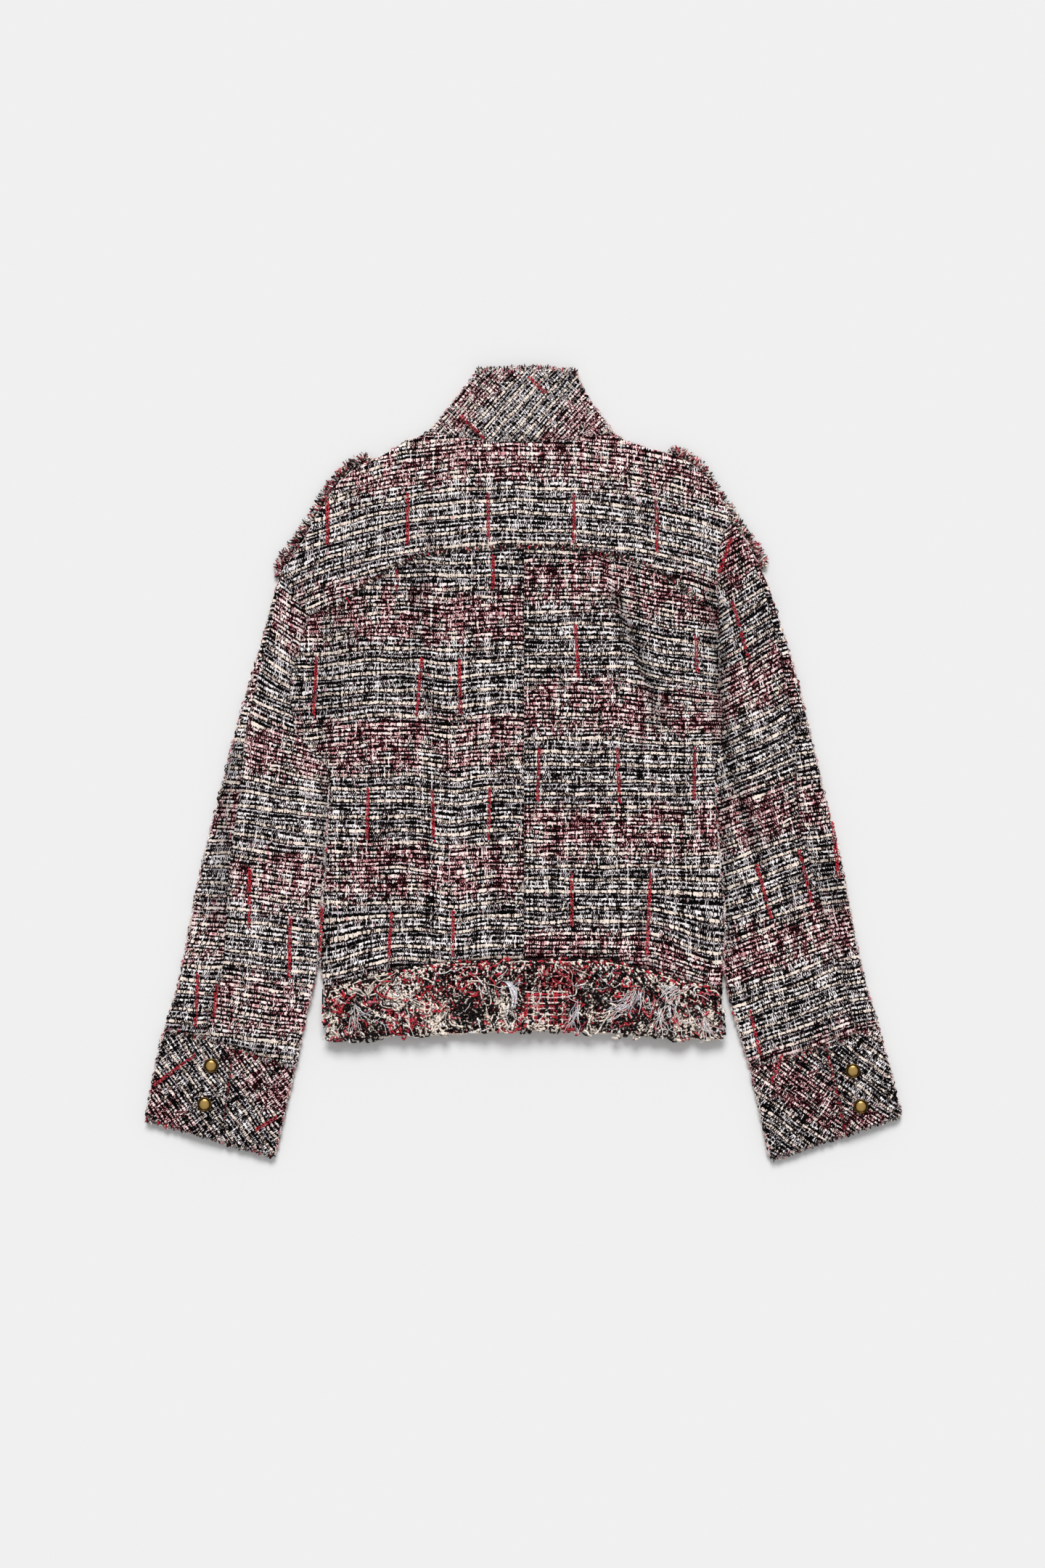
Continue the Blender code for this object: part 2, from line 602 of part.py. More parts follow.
# Yoke: shoulder folds and neck seam at the top, the arched seam at the bottom.
top = chain(
    (NECK_FROM / cols, stretch(outer_left, shoulder_l, neck_l)),
    (NECK_TO / cols, neck_back),
    (1, stretch(outer_right, neck_r, shoulder_r)),
)
bottom = chain((0.5, yoke_seam_left), (1, yoke_seam_right))
left = stretch(armhole_left, 0, arm_yoke_l)
right = stretch(armhole_right, 0, arm_yoke_r)
depth = np.hypot(*(bottom(u1) - top(u1)).T)
vv = np.array([shares(d, YOKE_ROWS, True, False) for d in np.maximum(depth, 30)]).T
xy = patch(left, right, top, bottom, np.repeat(u1[None], YOKE_ROWS + 1, 0), vv)
gapped = seam_in(seam_in(xy, ["bottom"]), ["left", "right"], CURVED_IN)
neck_cols = slice(NECK_FROM, NECK_TO + 1)
gapped[0, neck_cols] = seam_in(gapped, ["top"], CURVED_IN)[0, neck_cols]
panel("back_yoke", gapped, 1, opened=("top",))

# Fronts: on the floor under the back, lapped at centre front.
v, (v_yoke, v_arm, v_turn, _) = rows_down(UPPER, ARM, 1, LOWER)


def front(name, is_left):
    cols_shoulder, cols_neck, cols_lap = 5, COLLAR_FRONT_COLS, 1
    side = 1 if is_left else -1
    lap_x = CENTRE + side * LAP
    curve, shoulder, neck = (
        (outer_left, shoulder_l, neck_l) if is_left else (outer_right, shoulder_r, neck_r)
    )
    neck_front = neck_front_left if is_left else neck_front_right
    armhole, arm_yoke = (
        (armhole_left, arm_yoke_l) if is_left else (armhole_right, arm_yoke_r)
    )
    body_side, body_band = (side_left, band_l) if is_left else (side_right, band_r)
    # Worked out from the armhole towards the lap, and turned round for the right.
    span = abs(lap_x - curve(shoulder)[0])
    to_neck = abs(curve(neck)[0] - curve(shoulder)[0]) / span
    to_centre = abs(CENTRE - side - curve(shoulder)[0]) / span
    top = chain(
        (to_neck, stretch(curve, shoulder, neck)),
        (to_centre, neck_front),
        (1, Curve([neck_front.rows[-1], (lap_x, 672)])),
    )
    outside = chain(
        (v_yoke, beside_yoke(armhole, arm_yoke, 0.0)),
        (v_arm, stretch(armhole, arm_yoke, 1)),
        (v_turn, stretch(body_side, 0, body_side.at[TURN])),
        (1, stretch(body_side, body_side.at[TURN], body_band)),
    )
    along = np.linspace(0, 1, 200)
    end = float(np.interp(lap_x, band_seam(along)[:, 0], along))
    bottom = stretch(band_seam, 0 if is_left else 1, end)
    inside = Curve([(lap_x, 672), band_seam(end)])
    chord = float(np.hypot(*(neck_front(1.0) - neck_front(0.0))))
    neck_shares = shares(chord, cols_neck, True, False)
    first = np.concatenate(
        [
            np.linspace(0, to_neck, cols_shoulder + 1),
            to_neck + (to_centre - to_neck) * neck_shares[1:],
            np.linspace(to_centre, 1, cols_lap + 1)[1:],
        ]
    )
    width = np.hypot(*(inside(v) - outside(v)).T)
    weight = smooth((v - 0.92 * v_arm) / (0.13 * v_arm))
    lap_steps = np.array([0, LAP, 2 * LAP, 2 * LAP + 13, 2 * LAP + 38, 2 * LAP + 64])
    u = []
    for i, w in enumerate(width):
        fold = roll_steps(3) / w
        even = np.linspace(0, 1 - lap_steps[-1] / w, len(first) - len(lap_steps) + 1)
        folded = np.concatenate([fold, np.linspace(fold[-1], even[-1], len(even) - 3)[1:]])
        row = even + (folded - even) * weight[i]
        row = np.concatenate([row, 1 - lap_steps[-2::-1] / w])
        u.append(first + (row - first) * min(1.0, i / 1.0))
    u = np.array(u)
    xy = patch(outside, inside, top, bottom, u, np.repeat(v[:, None], u.shape[1], 1))
    gapped = seam_in(xy, ["left"], row_gap(len(v), ARMHOLE_GAP, UPPER))
    xy[: UPPER + ARM + 1, 0] = gapped[: UPPER + ARM + 1, 0]
    gapped = seam_in(xy, ["top"], CURVED_IN)
    xy[0, cols_shoulder:] = gapped[0, cols_shoulder:]
    if not is_left:
        xy = xy[:, ::-1]
    xy = seam_in(xy, ["bottom"], CURVED_IN)
    return panel(
        name, xy, -1, left=is_left,
        opened=("top", "left" if is_left else "right"),
    )


front("front_left", True)
front("front_right", False)


# Sleeves: sections run from the outer fold to the inner edge, which is the
# armhole down to the underarm and then the inner fold.
def sleeve(tag, is_left):
    if is_left:
        outer, inner, armhole = outer_left, sleeve_left_in, armhole_left
        shoulder, cuff_row = OUTER_LEFT_SHOULDER, OUTER_LEFT_CUFF
        inner_cuff, arm_yoke = inner.at[SLEEVE_LEFT_IN_CUFF + TURN], arm_yoke_l
        beside_corner, beside_underarm = (374, 840), (309, 1072)
        seam_table, cuff_seam = SLEEVE_SEAM_LEFT, cuff_seam_left
    else:
        outer, inner, armhole = outer_right, sleeve_right_in, armhole_right
        shoulder, cuff_row = OUTER_RIGHT_SHOULDER, OUTER_RIGHT_CUFF
        inner_cuff, arm_yoke = inner.at[SLEEVE_RIGHT_IN_CUFF + TURN], arm_yoke_r
        beside_corner, beside_underarm = (1053, 797), (1124, 1044)
        seam_table = SLEEVE_SEAM_RIGHT
        cuff_seam = lambda s: cuff_seam_right(1 - np.asarray(s))

    def share_near(point):
        along = np.linspace(0, 1, 800)
        return float(along[np.argmin(np.hypot(*(outer(along) - point).T))])

    start = float(outer.at[shoulder]) + 0.005
    inner_start = 0.018
    underarm = share_near(beside_underarm)
    breaks = [start, share_near(beside_corner), underarm, underarm + 0.005, float(outer.at[cuff_row])]
    v, ends = rows_down(UPPER, ARM, 1, LOWER + 2)
    v_yoke, v_arm = ends[0], ends[1]
    outside = chain(*[(e, stretch(outer, a, b)) for e, a, b in zip(ends, breaks, breaks[1:])])
    inside = chain(
        (v_yoke, beside_yoke(armhole, arm_yoke, inner_start / arm_yoke)),
        (v_arm, stretch(armhole, arm_yoke, 1)),
        (ends[2], stretch(inner, 0, inner.at[TURN])),
        (1, stretch(inner, inner.at[TURN], inner_cuff)),
    )
    top = Curve([outside(0.0), inside(0.0)])
    bottom = cuff_seam
    a, b = outside(v), inside(v)
    width = np.hypot(*(b - a).T)
    # Length down the sleeve as a share, for the table of the seam.
    down = np.concatenate([[0], np.cumsum(np.hypot(*np.diff(a, axis=0).T))])
    down /= down[-1]
    seam = np.interp(down, *np.array(seam_table).T)
    seam = np.minimum(seam, 0.3 * width)
    r = ROLL * MM
    weight = smooth((v - 0.92 * v_arm) / (0.13 * v_arm))
    n_back, n_flat = 8, 4
    back, under, fold_cols = [], [], None
    for i, w in enumerate(width):
        r_i = min(r, 0.34 * w)
        steps_in = r_i * (1 - np.cos(np.linspace(0, math.pi / 2, 4)))
        even = np.linspace(seam[i], w, n_back + 1)
        folded = np.concatenate([np.linspace(seam[i], w - r_i, n_back - 2), w - steps_in[-2::-1]])
        back.append((even + (folded - even) * weight[i]) / w)
        # From the seam out to the fold, round it, and back under to the inner edge.
        reach = max(seam[i], 0.2)
        out_steps = reach * np.array([1.0, 0.5, 0.14, 0.0])
        if seam[i] > r_i:
            out_steps = np.array([seam[i], r_i * 0.6, r_i * 0.15, 0.0])
        flat_even = np.linspace(r_i, w, n_flat + 4)
        flat_folded = np.concatenate(
            [np.linspace(r_i, w - r_i, n_flat + 1), w - steps_in[-2::-1]]
        )
        flat = flat_even + (flat_folded - flat_even) * weight[i]
        under.append(np.concatenate([out_steps, steps_in[1:-1], flat]) / w)
    vv = lambda n: np.repeat(v[:, None], n, 1)
    back, under = np.array(back), np.array(under)
    arm_rows = UPPER + ARM
    xy = patch(outside, inside, top, bottom, back, vv(back.shape[1]))
    gapped = seam_in(xy, ["right"], row_gap(len(v), ARMHOLE_GAP, UPPER))
    xy[: arm_rows + 1, -1] = gapped[: arm_rows + 1, -1]
    if not is_left:
        xy = xy[:, ::-1]
    cap_gap = row_gap(len(v), np.full(UPPER + 1, 2.0 * CURVED_IN))
    xy = seam_in(seam_in(xy, ["bottom"], CURVED_IN), ["left" if is_left else "right"], cap_gap)
    panel(
        f"sleeve_{tag}_back", xy, 1,
        opened=("right" if is_left else "left",),
    )
    xy = patch(outside, inside, top, bottom, under, vv(under.shape[1]))
    gapped = seam_in(xy, ["right"], row_gap(len(v), ARMHOLE_GAP, UPPER))
    xy[: arm_rows + 1, -1] = gapped[: arm_rows + 1, -1]
    layer = np.concatenate([np.ones(4), -np.ones(under.shape[1] - 4)])[None]
    xy = seam_in(seam_in(xy, ["bottom"], CURVED_IN), ["left"], cap_gap)
    panel(f"sleeve_{tag}_front", xy, np.repeat(layer, len(v), 0), opened=("right",))


sleeve("left", True)
sleeve("right", False)


def fold_in(width, steps=3):
    return roll_steps(steps) / width


# Cuffs: a strip round the wrist whose upper end laps over its under end.
def cuff_grid(is_left):
    if is_left:
        outer, inner = outer_left, sleeve_left_in
        outer_from, inner_from = outer.at[OUTER_LEFT_CUFF], inner.at[SLEEVE_LEFT_IN_CUFF + TURN]
        seam, end, edge = cuff_seam_left, cuff_end_left, CUFF_EDGE_LEFT
    else:
        outer, inner = outer_right, sleeve_right_in
        outer_from, inner_from = outer.at[OUTER_RIGHT_CUFF], inner.at[SLEEVE_RIGHT_IN_CUFF + TURN]
        seam = lambda s: cuff_seam_right(1 - np.asarray(s))
        end = lambda s: cuff_end_right(1 - np.asarray(s))
        edge = CUFF_EDGE_RIGHT
    outside, inside = stretch(outer, outer_from, 1), stretch(inner, inner_from, 1)
    v = np.linspace(0, 1, 5)
    a, b = outside(v), inside(v)
    width = np.hypot(*(b - a).T)
    free = (np.interp(v, (0, 1), edge) - a[:, 0]) / (b[:, 0] - a[:, 0])
    u, flat = [], np.linspace(0, 1, 5)
    for w, f in zip(width, free):
        lap = CUFF_LAP / w
        fold = fold_in(w)
        flap = [f, f - 0.5 * lap, f - lap - 4 / w, f - lap - 15 / w, f - lap - 27 / w]
        upper = np.concatenate([flap, fold[:0:-1]])
        below = np.concatenate([[0], fold[1:], fold[-1] + flat[1:-1] * (1 - 2 * fold[-1]), 1 - fold[:0:-1], [1]])
        start = 1 - fold[-1]
        back = np.concatenate([1 - fold[1:], start + np.linspace(0, 1, 5)[1:] * (f - lap - start)])
        u.append(np.concatenate([upper, below, back]))
    u = np.array(u)
    n_upper = 5 + 3
    n_below = 1 + 3 + 3 + 3 + 1
    layer = np.ones(u.shape[1])
    layer[n_upper : n_upper + n_below] = -1
    vv = np.repeat(v[:, None], u.shape[1], 1)
    xy = patch(outside, inside, seam, end, u, vv)
    # The upper end rises over the under end.
    rise = np.zeros(u.shape)
    rise[:, :n_upper] = LAYER * smooth(
        (u[:, :n_upper] - free[:, None]) * width[:, None] / 22 + (CUFF_LAP + 26) / 22
    )
    return xy, np.repeat(layer[None], len(v), 0), rise


for tag, is_left in (("left", True), ("right", False)):
    xy, layer, rise = cuff_grid(is_left)
    panel(f"cuff_{tag}", seam_in(xy, ["top"], CURVED_IN), layer, extra=rise)

# Collar: one strip from centre front round the back to centre front.
v = np.linspace(0, 1, 6)
neck_to_top_l, neck_to_top_r = stretch(outer_left, neck_l, 0), stretch(outer_right, neck_r, 0)
front_l = Curve([NECK_FRONT_LEFT[-1], COLLAR_FRONT_LEFT[-1]])
front_r = Curve([NECK_FRONT_RIGHT[-1], COLLAR_FRONT_RIGHT[-1]])
collar_top = Curve([outer_left.rows[0], (725, 510), outer_right.rows[0]])
collar_parts, collar_layers, collar_sides = [], [], []
for fold, middle, neck_edge, top_edge, first in (
    (neck_to_top_l, front_l, neck_front_left, collar_front_left, True),
    (neck_to_top_r, front_r, neck_front_right, collar_front_right, False),
):
    width = np.hypot(*(middle(v) - fold(v)).T)
    u = np.array([shares(w, COLLAR_FRONT_COLS, True, False) for w in width])
    xy = patch(fold, middle, neck_edge, top_edge, u, np.repeat(v[:, None], u.shape[1], 1))
    collar_parts.append(xy[:, :0:-1] if first else xy[:, 1:])
    collar_layers.append(-np.ones(u.shape[1] - 1))
    collar_sides.append(np.full(u.shape[1] - 1, first))
width = np.hypot(*(neck_to_top_r(v) - neck_to_top_l(v)).T)
u = np.array([shares(w, COLLAR_COLS, True, True) for w in width])
back = patch(
    neck_to_top_l, neck_to_top_r, neck_back, collar_top, u, np.repeat(v[:, None], COLLAR_COLS + 1, 1)
)
xy = np.concatenate([collar_parts[0], back, collar_parts[1]], axis=1)
layer = np.concatenate([collar_layers[0], np.ones(COLLAR_COLS + 1), collar_layers[1]])
sides = np.concatenate([collar_sides[0], np.zeros(COLLAR_COLS + 1, bool), collar_sides[1]])
panel("collar", seam_in(xy, ["top"], CURVED_IN), np.repeat(layer[None], len(v), 0), left=sides[None])

# Hem band: one strip from the lap round the hem to the lap.
BAND_ROWS = 4
v = np.linspace(0, 1, BAND_ROWS + 1)
down_l, down_r = stretch(side_left, band_l, 1), stretch(side_right, band_r, 1)
width = np.hypot(*(down_r(v) - down_l(v)).T)
band_u, band_top = [], []
for w, x0 in zip(width, down_l(v)[:, 0]):
    fold = fold_in(w)
    lap = lambda x: (x - x0) / w
    right_part = np.concatenate(
        [[lap(CENTRE + d) for d in (-LAP, 0, LAP, LAP + 24, LAP + 90, LAP + 160)], 1 - fold[:0:-1]]
    )
    top_part = shares(w, 20, True, True)[::-1]
    left_part = np.concatenate(
        [fold[1:], [lap(CENTRE + d) for d in (-LAP - 160, -LAP - 90, -LAP - 58, -LAP - 34, -LAP - 12, 0, LAP)]]
    )
    band_u.append(np.concatenate([right_part, top_part, left_part]))
band_u = np.array(band_u)
n_right, n_top = 9, 21
layer = np.concatenate([-np.ones(n_right), np.ones(n_top), -np.ones(band_u.shape[1] - n_right - n_top)])
sides = np.arange(band_u.shape[1]) >= n_right + n_top
vv = np.repeat(v[:, None], band_u.shape[1], 1)
band_xy = patch(down_l, down_r, band_seam, hem, band_u, vv)
panel(
    "hem_band", seam_in(band_xy, ["top"], CURVED_IN), np.repeat(layer[None], len(v), 0),
    left=sides[None],
)


def lying_on(name, xy, thickness, lift=CLOTH / 2 + SEAM, extra=0.0):
    """A piece on the back's outside: the panel's points moved out."""
    z, normal, _ = heights(xy, np.ones(xy.shape[:-1]), None, extra)
    middle = metres(xy, z) + normal * [1, -1, 1] * ((lift + thickness / 2) / 1000)
    return close(name, middle, normal * [1, -1, 1], thickness / 2000)


# Fringe over the band: the band's own points moved out, and a slab under it.
top_cols = slice(n_right + 2, n_right + n_top - 2)
lying_on(
    "hem_fringe_back", seam_in(band_xy[:, top_cols], ["top"], 1.0), FRINGE_OVER,
    lift=CLOTH / 2 + SEAM + 0.25,
)
v2 = np.linspace(0, 1, 4)
u2 = np.linspace(0.012, 0.988, 12)
slab = patch(down_l, down_r, band_seam, hem, np.repeat(u2[None], 4, 0), np.repeat(v2[:, None], 12, 1))
slab = seam_in(slab, ["top"], 1.0)
flat = np.zeros(slab.shape[:-1] + (3,)) + [0, 0, 1.0]
close("hem_fringe_front", metres(slab, np.full(slab.shape[:-1], FRINGE_UNDER / 2)), flat, FRINGE_UNDER / 2000)

# Fray of the yoke's raw edge, lying over its seam.
seam_line = chain((0.5, yoke_seam_left), (1, yoke_seam_right))(np.linspace(0.03, 0.97, 25))
drop = np.array([-2.0, 4.0, 10.0])
fray = seam_line[None] + np.stack([0 * drop, drop], axis=-1)[:, None]
lying_on("yoke_fringe", fray, 1.2, lift=CLOTH / 2 + SEAM + 0.6)

# Shoulder tabs, on the floor under the shoulder folds.
for name, rows, side in (("epaulette_left", TAB_LEFT, 1), ("epaulette_right", TAB_RIGHT, -1)):
    along = np.linspace(0, 1, 9)
    edge, far = Curve(rows)(along), moved_in(rows, side, TAB_WIDTH)(along)
    xy = np.stack([edge, 0.5 * (edge + far), far], axis=1)
    flat = np.zeros(xy.shape[:-1] + (3,)) + [0, 0, 1.0]
    close(name, metres(xy, np.full(xy.shape[:-1], CLOTH / 2)), flat, CLOTH / 2000)


# Snaps: a domed cap in a rolled rim.  Columns: share of radius, share of height.
SNAP_PROFILE = (
    (0.36, 0.97), (0.62, 0.83), (0.78, 0.54),
    (0.87, 0.66), (0.96, 0.60), (1.0, 0.36), (0.92, 0.0),
)
SNAP_SIDES = 16


def snap(name, x, y, base, face):
    """face 1 looks up, -1 looks down; base is the height in mm where it is set."""
    mesh = bmesh.new()
    rings = []
    for radius, height in SNAP_PROFILE:
        ring = []
        for k in range(SNAP_SIDES):
            a = 2 * math.pi * k / SNAP_SIDES
            ring.append(
                mesh.verts.new(
                    (SNAP_R * radius * math.cos(a) / 1000, SNAP_R * radius * math.sin(a) / 1000, face * SNAP_H * height / 1000)
                )
            )
        rings.append(ring)
    crown = mesh.verts.new((0, 0, face * SNAP_H / 1000))
    for k in range(SNAP_SIDES):
        m = (k + 1) % SNAP_SIDES
        mesh.faces.new([crown, rings[0][k], rings[0][m]])
        for upper, lower in zip(rings, rings[1:]):
            mesh.faces.new([upper[k], lower[k], lower[m], upper[m]])
    mesh.faces.new(rings[-1])
    bmesh.ops.recalc_face_normals(mesh, faces=mesh.faces)
    obj = put(name, mesh)
    obj.location = metres(np.array([x, y], float), np.array(float(base)))
    return obj


around = np.array([(0, 0)] + [(math.cos(a), math.sin(a)) for a in np.arange(0, 6.28, 0.785)])
for name, x, y in SNAPS_CUFF:
    spots = np.array([x, y], float) + around * SNAP_R * MM
    z, _, _ = heights(spots, np.ones(len(spots)))
    snap(name, x, y, z.max() + LAYER + CLOTH / 2 + SEAM + 0.15, 1)
for k, y in enumerate(SNAPS_FRONT):
    snap(f"snap_front_{k + 1}", CENTRE, y, SNAP_H, -1)

# Materials.  Columns: start of the node's name, colour, roughness, metallic.
MATERIALS = (
    ("snap", (0.33, 0.24, 0.13), 0.38, 1.0),
    ("hem_fringe", (0.36, 0.24, 0.24), 0.95, 0.0),
    ("yoke_fringe", (0.14, 0.10, 0.11), 0.95, 0.0),
    ("", (0.46, 0.32, 0.32), 0.92, 0.0),
)
bpy.context.view_layer.update()
solids = list(bpy.context.scene.collection.objects)
corners = np.concatenate(
    [np.array([obj.matrix_world @ v.co for v in obj.data.vertices]) for obj in solids]
)
low, high = corners.min(axis=0), corners.max(axis=0)
shift = np.array([-(low[0] + high[0]) / 2, -(low[1] + high[1]) / 2, -low[2]])
for obj in solids:
    obj.location = np.array(obj.location) + shift
    start, colour, roughness, metallic = next(row for row in MATERIALS if obj.name.startswith(row[0]))
    material = bpy.data.materials.new(obj.name)
    material.use_nodes = True
    shader = next(n for n in material.node_tree.nodes if n.type == "BSDF_PRINCIPLED")
    shader.inputs["Base Color"].default_value = (*colour, 1.0)
    shader.inputs["Roughness"].default_value = roughness
    shader.inputs["Metallic"].default_value = metallic
    material.diffuse_color = (*colour, 1.0)
    obj.data.materials.append(material)
    for polygon in obj.data.polygons:
        polygon.use_smooth = True
    obj.data.set_sharp_from_angle(angle=math.radians(40))
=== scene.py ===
"""Looks of the cropped tweed bomber jacket, laid flat with its back up.

The plan tables and the functions that turn them into cloth are the part's own,
on finer grids.  Plan: drawing units, x to the right, y down the garment, one
unit is UNIT metres.  Left and right are the wearer's, which are also the plan's.
"""

import math

import bpy
import numpy as np
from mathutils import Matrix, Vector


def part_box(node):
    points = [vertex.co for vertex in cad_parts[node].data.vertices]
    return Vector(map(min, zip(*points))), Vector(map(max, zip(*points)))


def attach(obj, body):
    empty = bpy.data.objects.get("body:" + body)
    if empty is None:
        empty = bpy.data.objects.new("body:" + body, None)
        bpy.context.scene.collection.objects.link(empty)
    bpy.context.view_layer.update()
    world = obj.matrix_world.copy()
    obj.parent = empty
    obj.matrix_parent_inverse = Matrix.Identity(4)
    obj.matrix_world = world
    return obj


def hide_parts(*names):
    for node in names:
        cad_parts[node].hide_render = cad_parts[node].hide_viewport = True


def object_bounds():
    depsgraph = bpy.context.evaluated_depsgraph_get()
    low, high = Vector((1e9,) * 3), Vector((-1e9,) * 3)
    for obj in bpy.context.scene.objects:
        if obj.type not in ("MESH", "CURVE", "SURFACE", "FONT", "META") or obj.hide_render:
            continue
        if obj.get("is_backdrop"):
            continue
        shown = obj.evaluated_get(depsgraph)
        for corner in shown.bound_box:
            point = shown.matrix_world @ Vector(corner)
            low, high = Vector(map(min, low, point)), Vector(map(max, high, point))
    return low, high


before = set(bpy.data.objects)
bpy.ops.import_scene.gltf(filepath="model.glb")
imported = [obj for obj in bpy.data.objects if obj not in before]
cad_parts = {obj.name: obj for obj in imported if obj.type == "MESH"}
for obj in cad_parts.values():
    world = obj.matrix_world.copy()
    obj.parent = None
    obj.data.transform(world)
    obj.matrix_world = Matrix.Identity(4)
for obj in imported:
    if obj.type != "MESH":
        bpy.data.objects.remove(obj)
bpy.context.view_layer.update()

# ---------------------------------------------------------------- dimensions
UNIT = 0.00073  # metres per drawing unit
PLAN_X, PLAN_Y = 721.5, 1050.0  # drawing point near the origin
CLOTH = 2.4  # mm, wall of the tweed
SEAM = 0.3  # mm between pieces
ROLL = 5.6  # mm, plan depth of the rounded folds at the sides
REST = 7.0  # mm, middle of the back's wall over the front
LAP = 20.0  # units, how far each front passes centre front
SNAP_R = 7.5  # mm, radius of a snap cap
SNAP_H = 2.2  # mm, height of a snap cap
TAB_WIDTH = 58.0  # units, width of a shoulder tab
FRINGE_UNDER = 2.2  # mm, pressed thickness of the fringe under the band
FRINGE_OVER = 3.6  # mm, thickness of the fringe on the back of the band
CENTRE = 722.0  # centre back and centre front

MM = 0.001 / UNIT  # drawing units in a millimetre
HALF = CLOTH / 2 * MM  # half the wall, in units
LAYER = CLOTH + SEAM  # mm, rise of one wall lying on another
CURVED_IN = 0.25 * MM  # half the gap where a curved seam's facets meet

# ------------------------------------------------------------ pattern tables
# Each edge runs from top to bottom.  Columns: x, y.  Named rows are landmarks.
OUTER_LEFT = (
    (657, 511), (636, 540), (604, 580), (592, 594),  # collar side, neck point
    (558, 611), (524, 630), (482, 653), (444, 699), (419, 745),
    (389, 790),  # shoulder point
    (368, 860), (345, 940), (322, 1020), (297, 1120), (277, 1200),
    (261, 1280), (245, 1360),
    (227, 1416),  # cuff seam
    (213, 1478), (201, 1541),  # cuff end
)
OUTER_LEFT_NECK, OUTER_LEFT_SHOULDER, OUTER_LEFT_CUFF = 3, 9, 17
OUTER_RIGHT = (
    (794, 511), (806, 540), (833, 579), (844, 595),
    (898, 620), (943, 635), (977, 663), (1002, 703),
    (1010, 716),
    (1027, 748), (1050, 790), (1075, 860), (1099, 940), (1118, 1020),
    (1137, 1100), (1157, 1180), (1172, 1260), (1189, 1340),
    (1210, 1412),
    (1226, 1473), (1242, 1536),
)
OUTER_RIGHT_NECK, OUTER_RIGHT_SHOULDER, OUTER_RIGHT_CUFF = 3, 8, 18
SIDE_LEFT = (  # body side below the underarm
    (455, 1063), (450, 1160), (444, 1265), (443, 1335),
    (448, 1363),  # band seam
    (450, 1400), (453, 1431),
)
SIDE_LEFT_BAND = 4
SIDE_RIGHT = (
    (985, 1060), (987, 1120), (994, 1200), (999, 1275), (997, 1330),
    (994, 1363),
    (994, 1400), (994, 1431),
)
SIDE_RIGHT_BAND = 5
SLEEVE_LEFT_IN = (
    (455, 1063), (450, 1160), (442, 1265), (437, 1335),
    (425, 1388), (407, 1472),  # cuff seam
    (393, 1532), (379, 1592),
)
SLEEVE_LEFT_IN_CUFF = 5
SLEEVE_RIGHT_IN = (
    (985, 1060), (987, 1120), (994, 1200), (999, 1275), (998, 1335),
    (1012, 1400), (1032, 1467),
    (1047, 1532), (1061, 1596),
)
SLEEVE_RIGHT_IN_CUFF = 6
ARMHOLE_LEFT = ((403, 820), (424, 849), (412, 895), (400, 950), (411, 1012))
ARMHOLE_LEFT_YOKE = 2  # row of the yoke corner, after the shoulder point
ARMHOLE_RIGHT = (
    (995, 742), (988, 782), (990, 838), (989, 890), (992, 940), (996, 1002),
)
ARMHOLE_RIGHT_YOKE = 3
NECK_BACK = ((632, 602), (668, 608), (725, 610), (777, 607), (818, 602))
NECK_FRONT_LEFT = ((626, 638), (672, 665), (721, 672))
NECK_FRONT_RIGHT = ((815, 638), (771, 665), (723, 672))
COLLAR_FRONT_LEFT = ((668, 556), (692, 582), (721, 590))
COLLAR_FRONT_RIGHT = ((783, 556), (755, 582), (723, 590))
YOKE_SEAM_LEFT = (
    (469, 832), (509, 803), (557, 774), (603, 762), (660, 756), (722, 752),
)
YOKE_SEAM_RIGHT = (
    (788, 756), (831, 762), (885, 776), (914, 791), (941, 809), (962, 827),
)
BAND_SEAM = ((505, 1345), (593, 1328), (722, 1321), (847, 1324), (930, 1346))
HEM = ((546, 1425), (640, 1422), (740, 1417), (847, 1422), (931, 1427))
CUFF_SEAM_LEFT = ((273, 1429), (323, 1444), (365, 1459))
CUFF_SEAM_RIGHT = ((1076, 1459), (1139, 1442), (1184, 1424))

# Distance from the outer fold to the seam of the two-piece sleeve.
# Columns: share of the sleeve's length, distance in units.
SLEEVE_SEAM_LEFT = (
    (0.00, 3), (0.15, 5), (0.28, 9), (0.40, 17), (0.50, 27), (0.60, 33),
    (0.70, 41), (0.82, 53), (0.93, 74), (1.00, 97),
)
SLEEVE_SEAM_RIGHT = (
    (0.00, 3), (0.15, 6), (0.30, 13), (0.42, 20), (0.52, 33), (0.60, 44),
    (0.70, 39), (0.78, 34), (0.86, 27), (0.94, 27), (1.00, 33),
)
TAB_LEFT = (  # outer long edge of the shoulder tab, which shows past the fold
    (505, 630), (485, 637), (465, 655), (444, 686), (427, 716), (409, 742),
    (392, 764), (383, 788),
)
TAB_RIGHT = (
    (928, 621), (952, 630), (968, 645), (984, 670), (1003, 699), (1022, 726),
    (1041, 752), (1052, 778),
)

